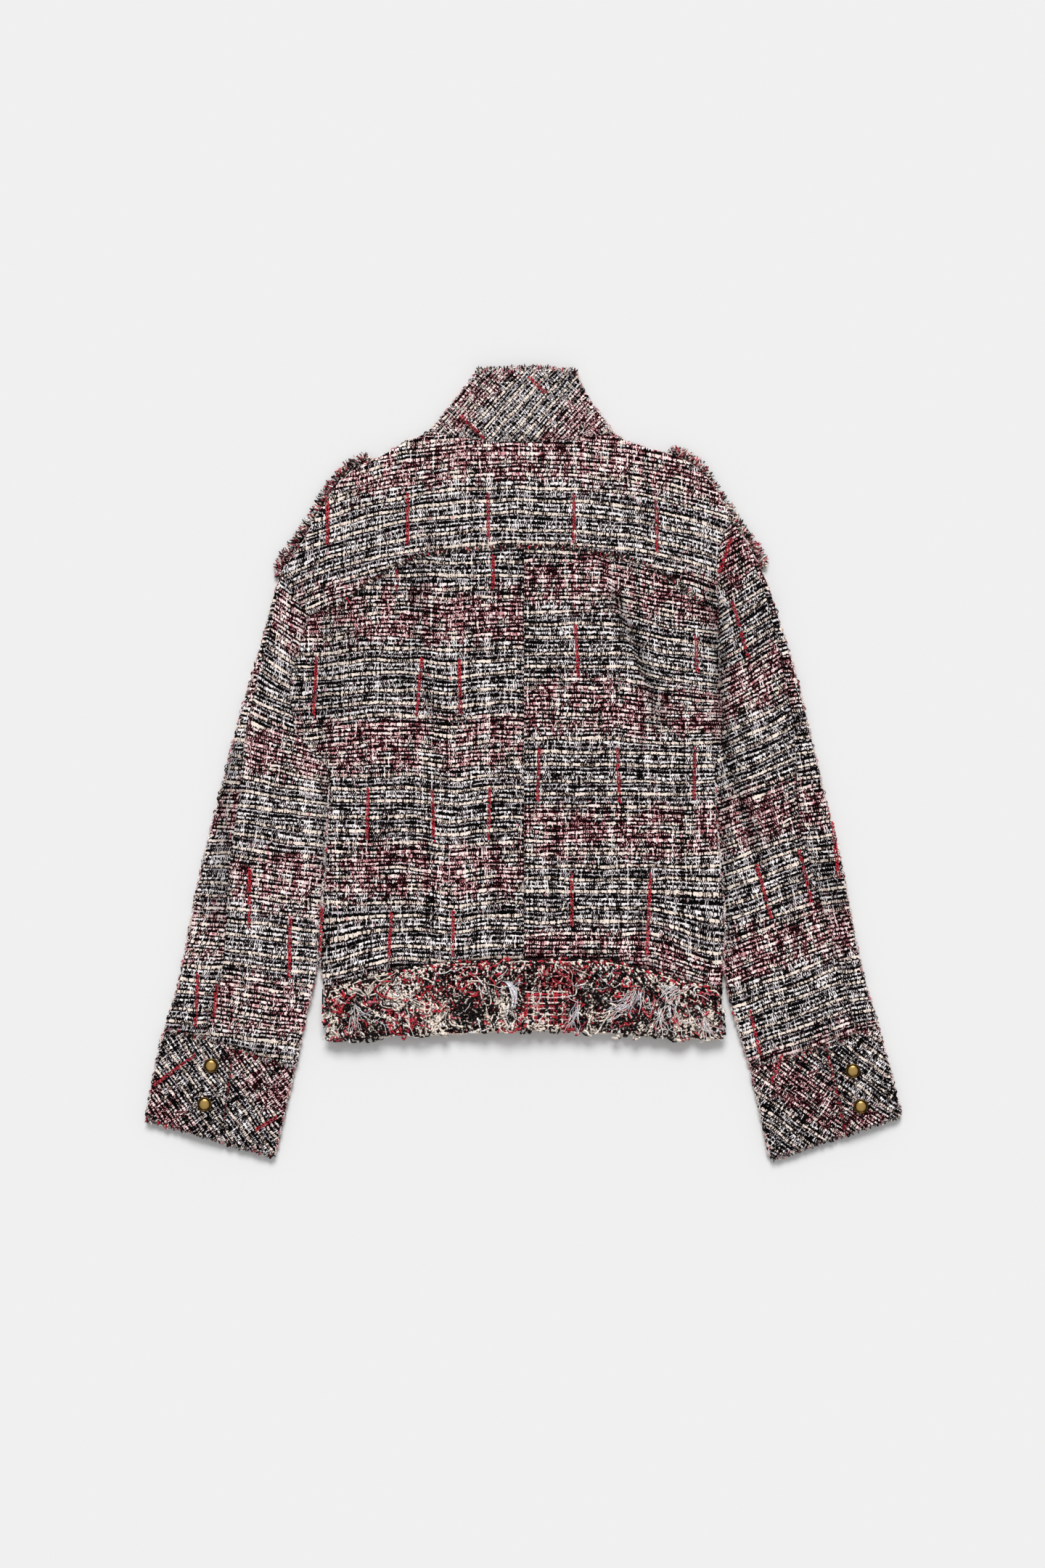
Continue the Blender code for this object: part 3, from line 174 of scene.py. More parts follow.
# Folds of the back and sleeves.  Columns: name, points, lift in mm (a trough
# is negative), half width in units.
FOLDS = (
    ("left pleat", ((490, 818), (495, 862), (490, 892), (466, 962), (457, 1012)), -2.4, 9),
    ("left pleat fullness", ((462, 852), (462, 905), (436, 975)), 1.7, 14),
    ("right pleat", ((857, 790), (868, 912), (900, 1014)), -2.2, 9),
    ("right pleat fullness", ((884, 808), (900, 900), (936, 1000)), 1.7, 17),
    ("left trough", ((604, 785), (630, 955), (616, 1130), (630, 1275)), -1.4, 15),
    ("centre left fullness", ((668, 800), (676, 1010), (668, 1250)), 1.1, 24),
    ("right of centre fullness", ((790, 800), (800, 1000), (800, 1240)), 1.2, 28),
    ("lower right ridge", ((894, 1160), (897, 1240), (894, 1318)), 2.4, 17),
    ("lower right trough", ((858, 1180), (856, 1300)), -1.2, 13),
    ("lower right sag", ((922, 1290), (962, 1322), (984, 1348)), 1.8, 18),
    ("lower left sag", ((462, 1330), (500, 1326), (545, 1306)), 1.9, 16),
    ("blouson", ((480, 1336), (590, 1305), (722, 1298), (850, 1302), (950, 1332)), 2.3, 17),
    ("centre back seam", ((722, 758), (722, 1318)), -0.5, 5),
    ("left armhole", ((403, 820), (424, 849), (412, 895), (400, 950), (411, 1012)), -1.3, 8),
    ("right armhole", ((990, 775), (990, 838), (989, 890), (992, 940), (996, 1002)), -2.6, 10),
    ("left sleeve fullness", ((392, 862), (372, 1040), (352, 1230), (338, 1400)), 2.0, 30),
    ("right sleeve fullness", ((1036, 850), (1056, 1040), (1076, 1230), (1100, 1400)), 2.0, 34),
    ("left sleeve seam", ((350, 940), (334, 1040), (318, 1165), (308, 1300), (318, 1400)), -1.6, 7),
    ("right sleeve seam", ((1096, 1010), (1104, 1140), (1136, 1255), (1168, 1368)), -2.4, 8),
    ("right sleeve fold", ((1003, 1168), (1040, 1112), (1092, 1082)), 1.6, 12),
    ("right sleeve fold low", ((1022, 1292), (1058, 1232), (1108, 1200)), 1.8, 13),
    ("left sleeve fold", ((412, 1120), (372, 1150), (338, 1156)), 1.2, 12),
)
SNAPS_CUFF = (  # columns: name, x, y
    ("snap_cuff_left_upper", 292, 1467), ("snap_cuff_left_lower", 283, 1520),
    ("snap_cuff_right_upper", 1174, 1474), ("snap_cuff_right_lower", 1185, 1523),
)
SNAPS_FRONT = (712, 856, 1000, 1144, 1288)  # y down the front lap

# Small creases, only in the looks.  Columns as for FOLDS, without the name.
CREASES = (
    (((848, 826), (880, 900), (906, 988)), -3.4, 5), (((834, 830), (866, 904), (890, 990)), 1.5, 9),
    (((984, 818), (991, 920), (997, 1010)), -3.0, 5), (((998, 1014), (1014, 1080), (1040, 1152)), -2.6, 6),
    (((318, 1036), (309, 1140), (301, 1256)), -2.6, 6), (((1138, 1196), (1160, 1262)), -2.2, 6),
    (((584, 800), (576, 870), (560, 950)), -1.6, 7), (((466, 830), (458, 930), (452, 1020)), -1.4, 7),
    (((562, 778), (566, 846)), -0.9, 6), (((641, 764), (648, 882)), -0.8, 7),
    (((603, 770), (607, 830)), 0.7, 8), (((836, 772), (842, 884)), -1.0, 7),
    (((812, 768), (816, 838)), 0.7, 8), (((521, 802), (529, 872)), -0.8, 6),
    (((912, 800), (926, 900)), -0.8, 7), (((760, 764), (764, 836)), -0.6, 7),
    (((700, 1256), (704, 1316)), -0.9, 7), (((643, 1262), (640, 1322)), -1.1, 7),
    (((594, 1278), (588, 1324)), 1.0, 8), (((548, 1276), (540, 1334)), -1.2, 7),
    (((500, 1282), (489, 1345)), -1.1, 8), (((770, 1266), (775, 1318)), -0.8, 7),
    (((820, 1262), (828, 1322)), -1.2, 7), (((884, 1270), (892, 1330)), -1.3, 7),
    (((936, 1282), (951, 1345)), -1.2, 8), (((470, 1180), (462, 1290)), 0.9, 13),
    (((966, 1150), (972, 1260)), 0.9, 13),
    (((452, 1070), (412, 1098), (376, 1108)), -1.2, 8),
    (((448, 1120), (410, 1160), (378, 1178)), 1.0, 10),
    (((372, 900), (396, 960), (420, 1010)), -0.8, 9),
    (((346, 1250), (378, 1290), (398, 1296)), -0.9, 9),
    (((330, 1330), (372, 1352), (402, 1350)), 0.9, 10),
    (((300, 1380), (296, 1424)), -1.1, 6), (((334, 1388), (330, 1436)), -1.0, 6),
    (((370, 1398), (364, 1448)), -1.1, 6), (((262, 1376), (257, 1418)), -0.8, 6),
    (((992, 1072), (1026, 1094), (1062, 1092)), -1.2, 8),
    (((996, 1130), (1030, 1150), (1072, 1132)), 0.9, 10),
    (((1008, 1230), (1044, 1196), (1094, 1168)), -1.0, 9),
    (((1026, 1360), (1072, 1316), (1120, 1296)), 1.0, 11),
    (((1018, 1330), (1060, 1284), (1112, 1258)), -1.0, 9),
    (((1012, 880), (1030, 950), (1042, 1030)), -0.8, 10),
    (((1056, 1402), (1066, 1452)), -1.1, 6), (((1098, 1396), (1106, 1446)), -1.0, 6),
    (((1140, 1386), (1148, 1434)), -1.1, 6), (((1178, 1380), (1184, 1418)), -0.8, 6),
    (((236, 1398), (323, 1414), (394, 1440)), 1.6, 12),
    (((1020, 1448), (1139, 1416), (1196, 1398)), 1.6, 12),
    (((500, 650), (520, 706)), -0.5, 12), (((930, 642), (944, 712)), -0.5, 12),
    (((640, 640), (700, 652), (790, 640)), -0.5, 12),
    (((620, 590), (640, 560), (668, 530)), -0.5, 10), (((800, 585), (790, 556), (776, 528)), -0.5, 10),
)

# Free edge of the upper end of each cuff, at its top and bottom.
CUFF_EDGE_LEFT = (321, 305)
CUFF_EDGE_RIGHT = (1139, 1166)
CUFF_LAP = 34.0  # units, how far the under end runs past that edge


# ------------------------------------------------------------------- curves
class Curve:
    """A smooth line through the rows of a table; 0 is its start, 1 its end."""

    def __init__(self, rows):
        self.rows = np.array(rows, float)
        steps = np.hypot(*np.diff(self.rows, axis=0).T)
        self.at = np.concatenate([[0], np.cumsum(steps)]) / steps.sum()
        spans = np.diff(self.at)[:, None]
        slopes = np.diff(self.rows, axis=0) / spans
        self.tangents = np.empty_like(self.rows)
        self.tangents[0], self.tangents[-1] = slopes[0], slopes[-1]
        self.tangents[1:-1] = (slopes[:-1] * spans[1:] + slopes[1:] * spans[:-1]) / (
            spans[:-1] + spans[1:]
        )

    def __call__(self, share):
        share = np.clip(np.asarray(share, float), 0, 1)
        k = np.clip(np.searchsorted(self.at, share, "right") - 1, 0, len(self.at) - 2)
        span = (self.at[k + 1] - self.at[k])[..., None]
        t = ((share - self.at[k])[..., None]) / span
        a, b = self.rows[k], self.rows[k + 1]
        ma, mb = self.tangents[k] * span, self.tangents[k + 1] * span
        return (
            (2 * t**3 - 3 * t**2 + 1) * a
            + (t**3 - 2 * t**2 + t) * ma
            + (3 * t**2 - 2 * t**3) * b
            + (t**3 - t**2) * mb
        )


def moved_in(rows, side, by):
    """The curve moved sideways by that many units; side 1 moves it to the right."""
    line = Curve(rows)
    h = 1e-3
    ahead, behind = line(np.minimum(line.at + h, 1)), line(np.maximum(line.at - h, 0))
    along = (ahead - behind) / np.hypot(*(ahead - behind).T)[:, None]
    # y runs down the plan, so this turns a downward edge's normal to the right.
    across = np.stack([along[:, 1], -along[:, 0]], axis=1)
    return Curve(line.rows + across * side * by)


def stretch(curve, start, end):
    """The part of a curve between two shares, as an edge from 0 to 1."""
    return lambda s: curve(start + (end - start) * np.asarray(s, float))


def chain(*parts):
    """One edge from several: pairs of the share where each ends and its edge."""
    ends = [0.0] + [end for end, _ in parts]

    def edge(s):
        s = np.asarray(s, float)
        out = parts[-1][1](np.clip((s - ends[-2]) / (ends[-1] - ends[-2]), 0, 1))
        for k in range(len(parts) - 2, -1, -1):
            inside = s <= ends[k + 1]
            local = np.clip((s - ends[k]) / (ends[k + 1] - ends[k]), 0, 1)
            out = np.where(inside[..., None], parts[k][1](local), out)
        return out

    return edge


def smooth(x):
    x = np.clip(x, 0, 1)
    return x * x * (3 - 2 * x)


outer_left = moved_in(OUTER_LEFT, 1, HALF)
outer_right = moved_in(OUTER_RIGHT, -1, HALF)
APART = HALF + 0.05  # inset where body and sleeve lie side by side, touching


def below_underarm(rows, side):
    """An edge that starts with the small turn at the underarm, then runs inset."""
    crotch = np.array(rows[0], float)
    inset = moved_in(rows, side, APART)
    turn = [crotch + APART * np.array([side * math.sin(a), -math.cos(a)]) for a in (0, 0.5, 1.0)]
    start, end = crotch + [side * APART, 0.0], inset.rows[1]
    more = [start + (end - start) * share for share in (0.0, 0.12, 0.5)]
    return Curve(np.vstack([turn, more, inset.rows[1:]]))


side_left = below_underarm(SIDE_LEFT, 1)
side_right = below_underarm(SIDE_RIGHT, -1)
sleeve_left_in = below_underarm(SLEEVE_LEFT_IN, -1)
sleeve_right_in = below_underarm(SLEEVE_RIGHT_IN, 1)
TURN, BELOW = 3, 5  # rows of the turn, and all rows added ahead of a table's own
armhole_left = Curve(
    [outer_left.rows[OUTER_LEFT_SHOULDER], *ARMHOLE_LEFT, side_left.rows[0]]
)
armhole_right = Curve(
    [outer_right.rows[OUTER_RIGHT_SHOULDER], *ARMHOLE_RIGHT, side_right.rows[0]]
)
neck_back = Curve(
    [outer_left.rows[OUTER_LEFT_NECK], *NECK_BACK, outer_right.rows[OUTER_RIGHT_NECK]]
)
neck_front_left = Curve([outer_left.rows[OUTER_LEFT_NECK], *NECK_FRONT_LEFT])
neck_front_right = Curve([outer_right.rows[OUTER_RIGHT_NECK], *NECK_FRONT_RIGHT])
collar_front_left = Curve([outer_left.rows[0], *COLLAR_FRONT_LEFT])
collar_front_right = Curve([outer_right.rows[0], *COLLAR_FRONT_RIGHT])
yoke_seam_left = Curve([armhole_left.rows[ARMHOLE_LEFT_YOKE], *YOKE_SEAM_LEFT])
yoke_seam_right = Curve(
    [YOKE_SEAM_LEFT[-1], *YOKE_SEAM_RIGHT, armhole_right.rows[ARMHOLE_RIGHT_YOKE]]
)
band_seam = Curve(
    [side_left.rows[SIDE_LEFT_BAND + BELOW], *BAND_SEAM, side_right.rows[SIDE_RIGHT_BAND + BELOW]]
)
hem = Curve([side_left.rows[-1], *HEM, side_right.rows[-1]])
cuff_seam_left = Curve(
    [outer_left.rows[OUTER_LEFT_CUFF], *CUFF_SEAM_LEFT, sleeve_left_in.rows[SLEEVE_LEFT_IN_CUFF + BELOW]]
)
cuff_seam_right = Curve(
    [sleeve_right_in.rows[SLEEVE_RIGHT_IN_CUFF + BELOW], *CUFF_SEAM_RIGHT, outer_right.rows[OUTER_RIGHT_CUFF]]
)
cuff_end_left = Curve([outer_left.rows[-1], sleeve_left_in.rows[-1]])
cuff_end_right = Curve([sleeve_right_in.rows[-1], outer_right.rows[-1]])


# ------------------------------------------------------- folds at the sides
def outline(curve, side, count, first_down=False):
    """Points along a rounded fold, each with the direction that faces out."""
    share = np.unique(np.round(np.concatenate([np.linspace(0, 1, count), curve.at]), 3))
    points = curve(share)
    along = np.gradient(points, axis=0)
    along /= np.hypot(*along.T)[:, None]
    out = np.stack([along[:, 1], -along[:, 0]], axis=1) * -side
    if first_down:
        out[0] = (0, 1)
    return points, out


OUTLINES = {
    "outer_left": outline(outer_left, 1, 70),
    "outer_right": outline(outer_right, -1, 70),
    "side_left": outline(side_left, 1, 24, True),
    "side_right": outline(side_right, -1, 24, True),
    "sleeve_left_in": outline(sleeve_left_in, -1, 30, True),
    "sleeve_right_in": outline(sleeve_right_in, 1, 30, True),
}


def distance(xy, points):
    """Distance of each point to a line of points, with the nearest segment and share."""
    shape = xy.shape[:-1]
    flat = xy.reshape(-1, 2)
    best = np.full(len(flat), 1e9)
    where = np.zeros(len(flat), int)
    share = np.zeros(len(flat))
    for k in range(len(points) - 1):
        a, b = points[k], points[k + 1]
        ab = b - a
        t = np.clip(((flat - a) @ ab) / max(ab @ ab, 1e-12), 0, 1)
        d = np.hypot(*(flat - a - t[:, None] * ab).T)
        closer = d < best
        best[closer], where[closer], share[closer] = d[closer], k, t[closer]
    return best.reshape(shape), where.reshape(shape), share.reshape(shape)


def from_fold(xy):
    """Distance to the nearest rounded fold, and the direction out of it."""
    near = np.full(xy.shape[:-1], 1e9)
    out = np.zeros(xy.shape)
    for points, normals in OUTLINES.values():
        d, k, t = distance(xy, points)
        n = normals[k] * (1 - t)[..., None] + normals[k + 1] * t[..., None]
        closer = d < near
        near = np.where(closer, d, near)
        out = np.where(closer[..., None], n, out)
    return near, out / np.maximum(np.hypot(out[..., 0], out[..., 1]), 1e-9)[..., None]


# ------------------------------------------------------------------ heights
YOKE_SEAM = np.concatenate(
    [yoke_seam_left(np.linspace(0, 1, 24)), yoke_seam_right(np.linspace(0, 1, 24))[1:]]
)


def sleeve_seam(outer, shoulder, cuff, side, table):
    """The seam between the two parts of a sleeve, in the plan."""
    share = np.linspace(0, 1, 24)
    start, end = outer.at[shoulder], outer.at[cuff]
    on = outer(start + (end - start) * share)
    along = np.gradient(on, axis=0)
    along /= np.hypot(*along.T)[:, None]
    inward = np.stack([along[:, 1], -along[:, 0]], axis=1) * side
    return on + inward * np.interp(share, *np.array(table).T)[:, None]


SLEEVE_SEAMS = (
    sleeve_seam(outer_left, OUTER_LEFT_SHOULDER, OUTER_LEFT_CUFF, 1, SLEEVE_SEAM_LEFT),
    sleeve_seam(outer_right, OUTER_RIGHT_SHOULDER, OUTER_RIGHT_CUFF, -1, SLEEVE_SEAM_RIGHT),
)
# Columns: line, depth of the dip in mm, half width in units.
SEAM_DIPS = tuple(
    (curve if isinstance(curve, np.ndarray) else curve(np.linspace(0, 1, 24)), depth, width)
    for curve, depth, width in (
        (YOKE_SEAM, 0.9, 6), (armhole_left, 1.2, 5), (armhole_right, 1.6, 6),
        (band_seam, 2.0, 7), (cuff_seam_left, 1.9, 6), (cuff_seam_right, 1.9, 6),
        (neck_back, 1.5, 6), (SLEEVE_SEAMS[0], 0.9, 4), (SLEEVE_SEAMS[1], 1.1, 4),
        (Curve([(CENTRE, 756), (CENTRE, 1320)]), 0.8, 3),
    )
)
TAB_CENTRES = tuple(
    moved_in(rows, side, TAB_WIDTH / 2)(np.linspace(0, 1, 9))
    for rows, side in ((TAB_LEFT, 1), (TAB_RIGHT, -1))
)


def common_rise(xy):
    """What lies under both layers: the shoulder tabs and the fringe under the band."""
    rise = np.zeros(xy.shape[:-1])
    for centre in TAB_CENTRES:
        d, _, _ = distance(xy, centre)
        rise = np.maximum(rise, (LAYER + 0.2) * (1 - smooth((d - TAB_WIDTH / 2 - 22) / 34)))
    seam = np.interp(xy[..., 0], *band_seam(np.linspace(0, 1, 40)).T)
    in_body = (xy[..., 0] > 425) & (xy[..., 0] < 1012)
    band = (FRINGE_UNDER + SEAM + 0.1) * smooth((xy[..., 1] - seam + 34) / 30)
    return np.maximum(rise, np.where(in_body, band, 0))


def front_rise(xy, left):
    """Rise of a front above the common level: the snap caps, and the lap's under layer."""
    x, y = xy[..., 0], xy[..., 1]
    fade = smooth((y - 604) / 62)
    caps = (SNAP_H + SEAM) * (1 - smooth((x - CENTRE - 16) / 24)) * fade
    if not left:
        return np.maximum(common_rise(xy), caps)
    lap = (SNAP_H + SEAM + LAYER + 0.1) * smooth((x - CENTRE + LAP + 58) / 46) * fade
    band = smooth((y - 1318) / 40) * LAYER * smooth((x - CENTRE + LAP + 58) / 46)
    return np.maximum(common_rise(xy) + band, lap)


def over(xy):
    """Middle of the back layer, before it turns down at the folds."""
    x, y = xy[..., 0], xy[..., 1]
    level = REST + common_rise(xy)
    level = level + 3.2 * np.exp(-(((x - CENTRE) / 56) ** 2)) * smooth((y - 556) / 80)
    for _, points, lift, width in FOLDS:
        line = Curve(points)(np.linspace(0, 1, 4 * len(points)))
        d, _, _ = distance(xy, line)
        level = level + lift * np.exp(-((d / width) ** 2))
    for points, lift, width in CREASES:
        line = Curve(points)(np.linspace(0, 1, 3 * len(points)))
        d, _, _ = distance(xy, line)
        level = level + lift * np.exp(-((d / width) ** 2))
    for line, depth, width in SEAM_DIPS:
        d, _, _ = distance(xy, line)
        level = level - depth * np.exp(-((d / width) ** 2))
    level = level + 0.40 * np.sin(x / 19 + 1.3 * np.sin(y / 41)) * np.sin(y / 27 + 0.8)
    level = level + 0.22 * np.sin(x / 8.3 + y / 13.1) * np.sin(y / 9.7 - x / 21.0)
    least = common_rise(xy) + CLOTH / 2 + LAYER + 0.4  # the back never sinks into the front
    return least + 0.4 * np.logaddexp(0, (level - least) / 0.4)


def heights(xy, layer, left=None, extra=0.0):
    """Middle of the wall in mm, and the direction its outside faces."""
    near, out = from_fold(xy)
    turn = np.clip(1 - near / (ROLL * MM), 0, 1)  # cosine of the fold's angle
    rise = np.sqrt(1 - turn**2)
    base = common_rise(xy) + CLOTH / 2
    top = over(xy)
    mid = (base + top) / 2
    half = (top - base) / 2
    if left is None:
        under = base
    else:
        left = np.broadcast_to(left, xy.shape[:-1])
        under = np.where(left, front_rise(xy, True), front_rise(xy, False)) + CLOTH / 2
    above = mid + (top - mid) * rise + extra
    below = mid + (under - mid) * rise - extra
    z = np.where(layer > 0, above, below)
    normal = np.stack(
        [out[..., 0] * turn / ROLL, out[..., 1] * turn / ROLL, np.sign(layer) * rise / half],
        axis=-1,
    )
    normal = np.where((turn <= 0)[..., None], np.stack([0 * z, 0 * z, np.sign(layer) + 0 * z], axis=-1), normal)
    return z, normal / np.linalg.norm(normal, axis=-1)[..., None], near


# ------------------------------------------------------------------- panels
def patch(left, right, top, bottom, u, v):
    """Plan points of a panel between four edges, u across it and v down it."""
    p00, p10, p01, p11 = top(0.0), top(1.0), bottom(0.0), bottom(1.0)
    U, V = u[..., None], v[..., None]
    return (
        (1 - U) * left(v) + U * right(v) + (1 - V) * top(u) + V * bottom(u)
        - (1 - U) * (1 - V) * p00 - U * (1 - V) * p10 - (1 - U) * V * p01 - U * V * p11
    )


def roll_steps(count):
    """Distances in from a fold, in units, closer together where it turns down."""
    angles = np.linspace(0, math.pi / 2, count + 1)
    return ROLL * MM * (1 - np.cos(angles))


def shares(width, count, roll_start, roll_end, steps=3):
    """Shares across a row of that width: even, but close together in a fold."""
    even = np.linspace(0, 1, count + 1)
    out = even.copy()
    if roll_start:
        d = roll_steps(steps) / width
        out[: steps + 1] = d
    if roll_end:
        d = roll_steps(steps) / width
        out[-steps - 1 :] = 1 - d[::-1]
    first = steps if roll_start else 0
    last = count - steps if roll_end else count
    out[first : last + 1] = np.linspace(out[first], out[last], last - first + 1)
    return out


def across(left, right, v, count, roll_start, roll_end, weight=None, steps=3, even=None):
    """u for each row and column; weight says how far each row uses its fold's spacing."""
    width = np.hypot(*(right(v) - left(v)).T)
    even = np.linspace(0, 1, count + 1) if even is None else even
    rows = np.array([shares(w, count, roll_start, roll_end, steps) for w in width])
    if weight is None:
        return rows
    return even + (rows - even) * np.asarray(weight)[:, None]




def seam_in(xy, sides, by=0.5 * SEAM * MM):
    """Moves the edges of a panel's plan in by half the gap at a seam."""
    xy = xy.copy()
    for side in sides:
        view = {
            "top": (xy[0], xy[1]), "bottom": (xy[-1], xy[-2]),
            "left": (xy[:, 0], xy[:, 1]), "right": (xy[:, -1], xy[:, -2]),
        }[side]
        step = view[1] - view[0]
        length = np.maximum(np.hypot(step[..., 0], step[..., 1]), 1e-9)[..., None]
        view[0][...] = view[0] + step / length * np.minimum(by, 0.4 * length)
    return xy



# ------------------------------------------------------------------- meshes
def metres(xy, z):
    return np.stack(
        [(xy[..., 0] - PLAN_X) * UNIT, (PLAN_Y - xy[..., 1]) * UNIT, z / 1000], axis=-1
    )


snap_low, snap_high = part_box("snap_cuff_left_upper")
SHIFT = np.zeros(3)
SHIFT[:2] = ((np.array(snap_low) + np.array(snap_high)) / 2)[:2] - metres(
    np.array([292.0, 1467.0]), np.array(0.0)
)[:2]


def mesh_of(name, verts, faces, smooth_shaded=True):
    """A mesh object from arrays; faces is an array of quads or of triangles."""
    mesh = bpy.data.meshes.new(name)
    corners = faces.shape[1]
    mesh.vertices.add(len(verts))
    mesh.vertices.foreach_set("co", np.ascontiguousarray(verts, np.float32).ravel())
    mesh.loops.add(faces.size)
    mesh.loops.foreach_set("vertex_index", np.ascontiguousarray(faces, np.int32).ravel())
    mesh.polygons.add(len(faces))
    mesh.polygons.foreach_set("loop_start", np.arange(0, faces.size, corners, dtype=np.int32))
    mesh.polygons.foreach_set("use_smooth", np.full(len(faces), smooth_shaded))
    mesh.update(calc_edges=True)
    obj = bpy.data.objects.new(name, mesh)
    bpy.context.scene.collection.objects.link(obj)
    return obj


def set_uv(obj, name, per_vertex):
    layer = obj.data.uv_layers.new(name=name)
    loops = np.empty(len(obj.data.loops), np.int32)
    obj.data.loops.foreach_get("vertex_index", loops)
    layer.data.foreach_set("uv", np.ascontiguousarray(per_vertex[loops], np.float32).ravel())


def fine(u, v, across_by, down_by):
    """Shares of a coarse grid, with more columns and rows put evenly between them."""
    u = np.atleast_2d(np.asarray(u, float))
    v = np.asarray(v, float)
    if v.ndim == 1:
        v = np.repeat(v[:, None], u.shape[1], 1)
    u = np.broadcast_to(u, v.shape)
    out = []
    for grid in (u, v):
        rows, cols = grid.shape
        old, new = np.arange(cols), np.linspace(0, cols - 1, (cols - 1) * across_by + 1)
        grid = np.array([np.interp(new, old, row) for row in grid])
        old, new = np.arange(rows), np.linspace(0, rows - 1, (rows - 1) * down_by + 1)
        out.append(np.array([np.interp(new, old, col) for col in grid.T]).T)
    return out


# Painted shade along folds, seams and cuff laps, darkening the cloth's colour: line, amount, width.
PAINTED_SHADES = (
    (((846, 818), (880, 900), (908, 994)), 0.50, 11),
    (((982, 812), (991, 920), (997, 1010)), 0.50, 13), (((998, 1010), (1014, 1080), (1042, 1158)), 0.44, 12),
    (((318, 1030), (309, 1140), (300, 1262)), 0.46, 13), (((1136, 1190), (1160, 1266)), 0.42, 11),
    (((450, 1060), (447, 1150), (445, 1250), (446, 1330)), 0.45, 7), (((996, 1056), (999, 1150), (1002, 1240), (1004, 1320)), 0.45, 7),
    (((452, 860), (446, 930), (440, 1000), (448, 1058)), 0.22, 6), (((1000, 1016), (997, 1050)), 0.25, 6),
    (((586, 796), (577, 870), (561, 952)), 0.26, 10), (((467, 826), (458, 930), (452, 1020)), 0.28, 11),
    (((640, 1262), (643, 1322)), 0.18, 7), (((548, 1276), (540, 1334)), 0.2, 7), (((820, 1262), (828, 1322)), 0.2, 7),
    (((884, 1270), (892, 1330)), 0.2, 7), (((300, 1380), (296, 1424)), 0.22, 6), (((334, 1388), (330, 1436)), 0.2, 6),
    (((370, 1398), (364, 1448)), 0.2, 6), (((1056, 1402), (1066, 1452)), 0.2, 6), (((1098, 1396), (1106, 1446)), 0.2, 6),
    (((1140, 1386), (1148, 1434)), 0.2, 6), (((321, 1443), (313, 1500), (305, 1560)), 0.30, 4), (((1139, 1470), (1152, 1516), (1166, 1562)), 0.30, 4),
)


def painted_shade_at(xy):
    """How much painted shade darkens the cloth there, from 0 to 1, with a faint band of it below the yoke seam."""
    total = np.zeros(xy.shape[:-1])
    for points, amount, width in PAINTED_SHADES:
        d, _, _ = distance(xy, Curve(points)(np.linspace(0, 1, 4 * len(points))))
        total = np.maximum(total, amount * np.exp(-((d / width) ** 2)))
    d, _, _ = distance(xy, np.array(YOKE_SEAM, float) + [0, 5])
    return np.maximum(total, 0.10 * np.exp(-((d / 6) ** 2)))


def cloth(name, xy, layer, pattern, left=None, extra=0.0, lift=0.0):
    """A thin closed wall of cloth on a plan grid, with its place in the weave as UVs."""
    layer = np.broadcast_to(np.asarray(layer, float), xy.shape[:-1])
    near, _ = from_fold(xy)
    moved = seam_in(xy, ("left", "right", "top", "bottom"), 0.15)
    xy = np.where((near > 1.0)[..., None], moved, xy)
    z, normal, near = heights(xy, layer, left, extra)
    normal = normal * [1, -1, 1]
    rows, cols = z.shape
    middle = metres(xy, z) + SHIFT
    wall = CLOTH / 2000
    verts = np.concatenate([(middle + normal * (wall + lift)).reshape(-1, 3), (middle - normal * wall).reshape(-1, 3)])
    index = np.arange(rows * cols).reshape(rows, cols)
    quads = np.stack([index[:-1, :-1], index[1:, :-1], index[1:, 1:], index[:-1, 1:]], axis=-1).reshape(-1, 4)
    rim = np.concatenate([index[0, :-1], index[:-1, -1], index[-1, :0:-1], index[:0:-1, 0]])
    ahead = np.roll(rim, -1)
    total = rows * cols
    a, b, c = verts[quads[0, 0]], verts[quads[0, 1]], verts[quads[0, 2]]
    outward = float(np.dot(np.cross(b - a, c - a), normal.reshape(-1, 3)[quads[0, 0]])) > 0
    sides = np.stack([rim, ahead, ahead + total, rim + total], axis=-1)
    if not outward:
        quads = quads[:, ::-1]
        sides = sides[:, ::-1]
    faces = np.concatenate([quads, quads[:, ::-1] + total, sides])
    obj = mesh_of(name, verts, faces)
    weave = pattern(xy, layer).reshape(-1, 2)
    set_uv(obj, "cloth", np.concatenate([weave, weave]))
    # Painted shade for the tweed to darken its colour with, on the outer layer only.
    painted_shading = (painted_shade_at(xy) * (layer > 0)).ravel()
    held = obj.data.attributes.new("painted_shading", "FLOAT", "POINT")
    held.data.foreach_set("value", np.concatenate([painted_shading, 0 * painted_shading]).astype(np.float32))
    return obj


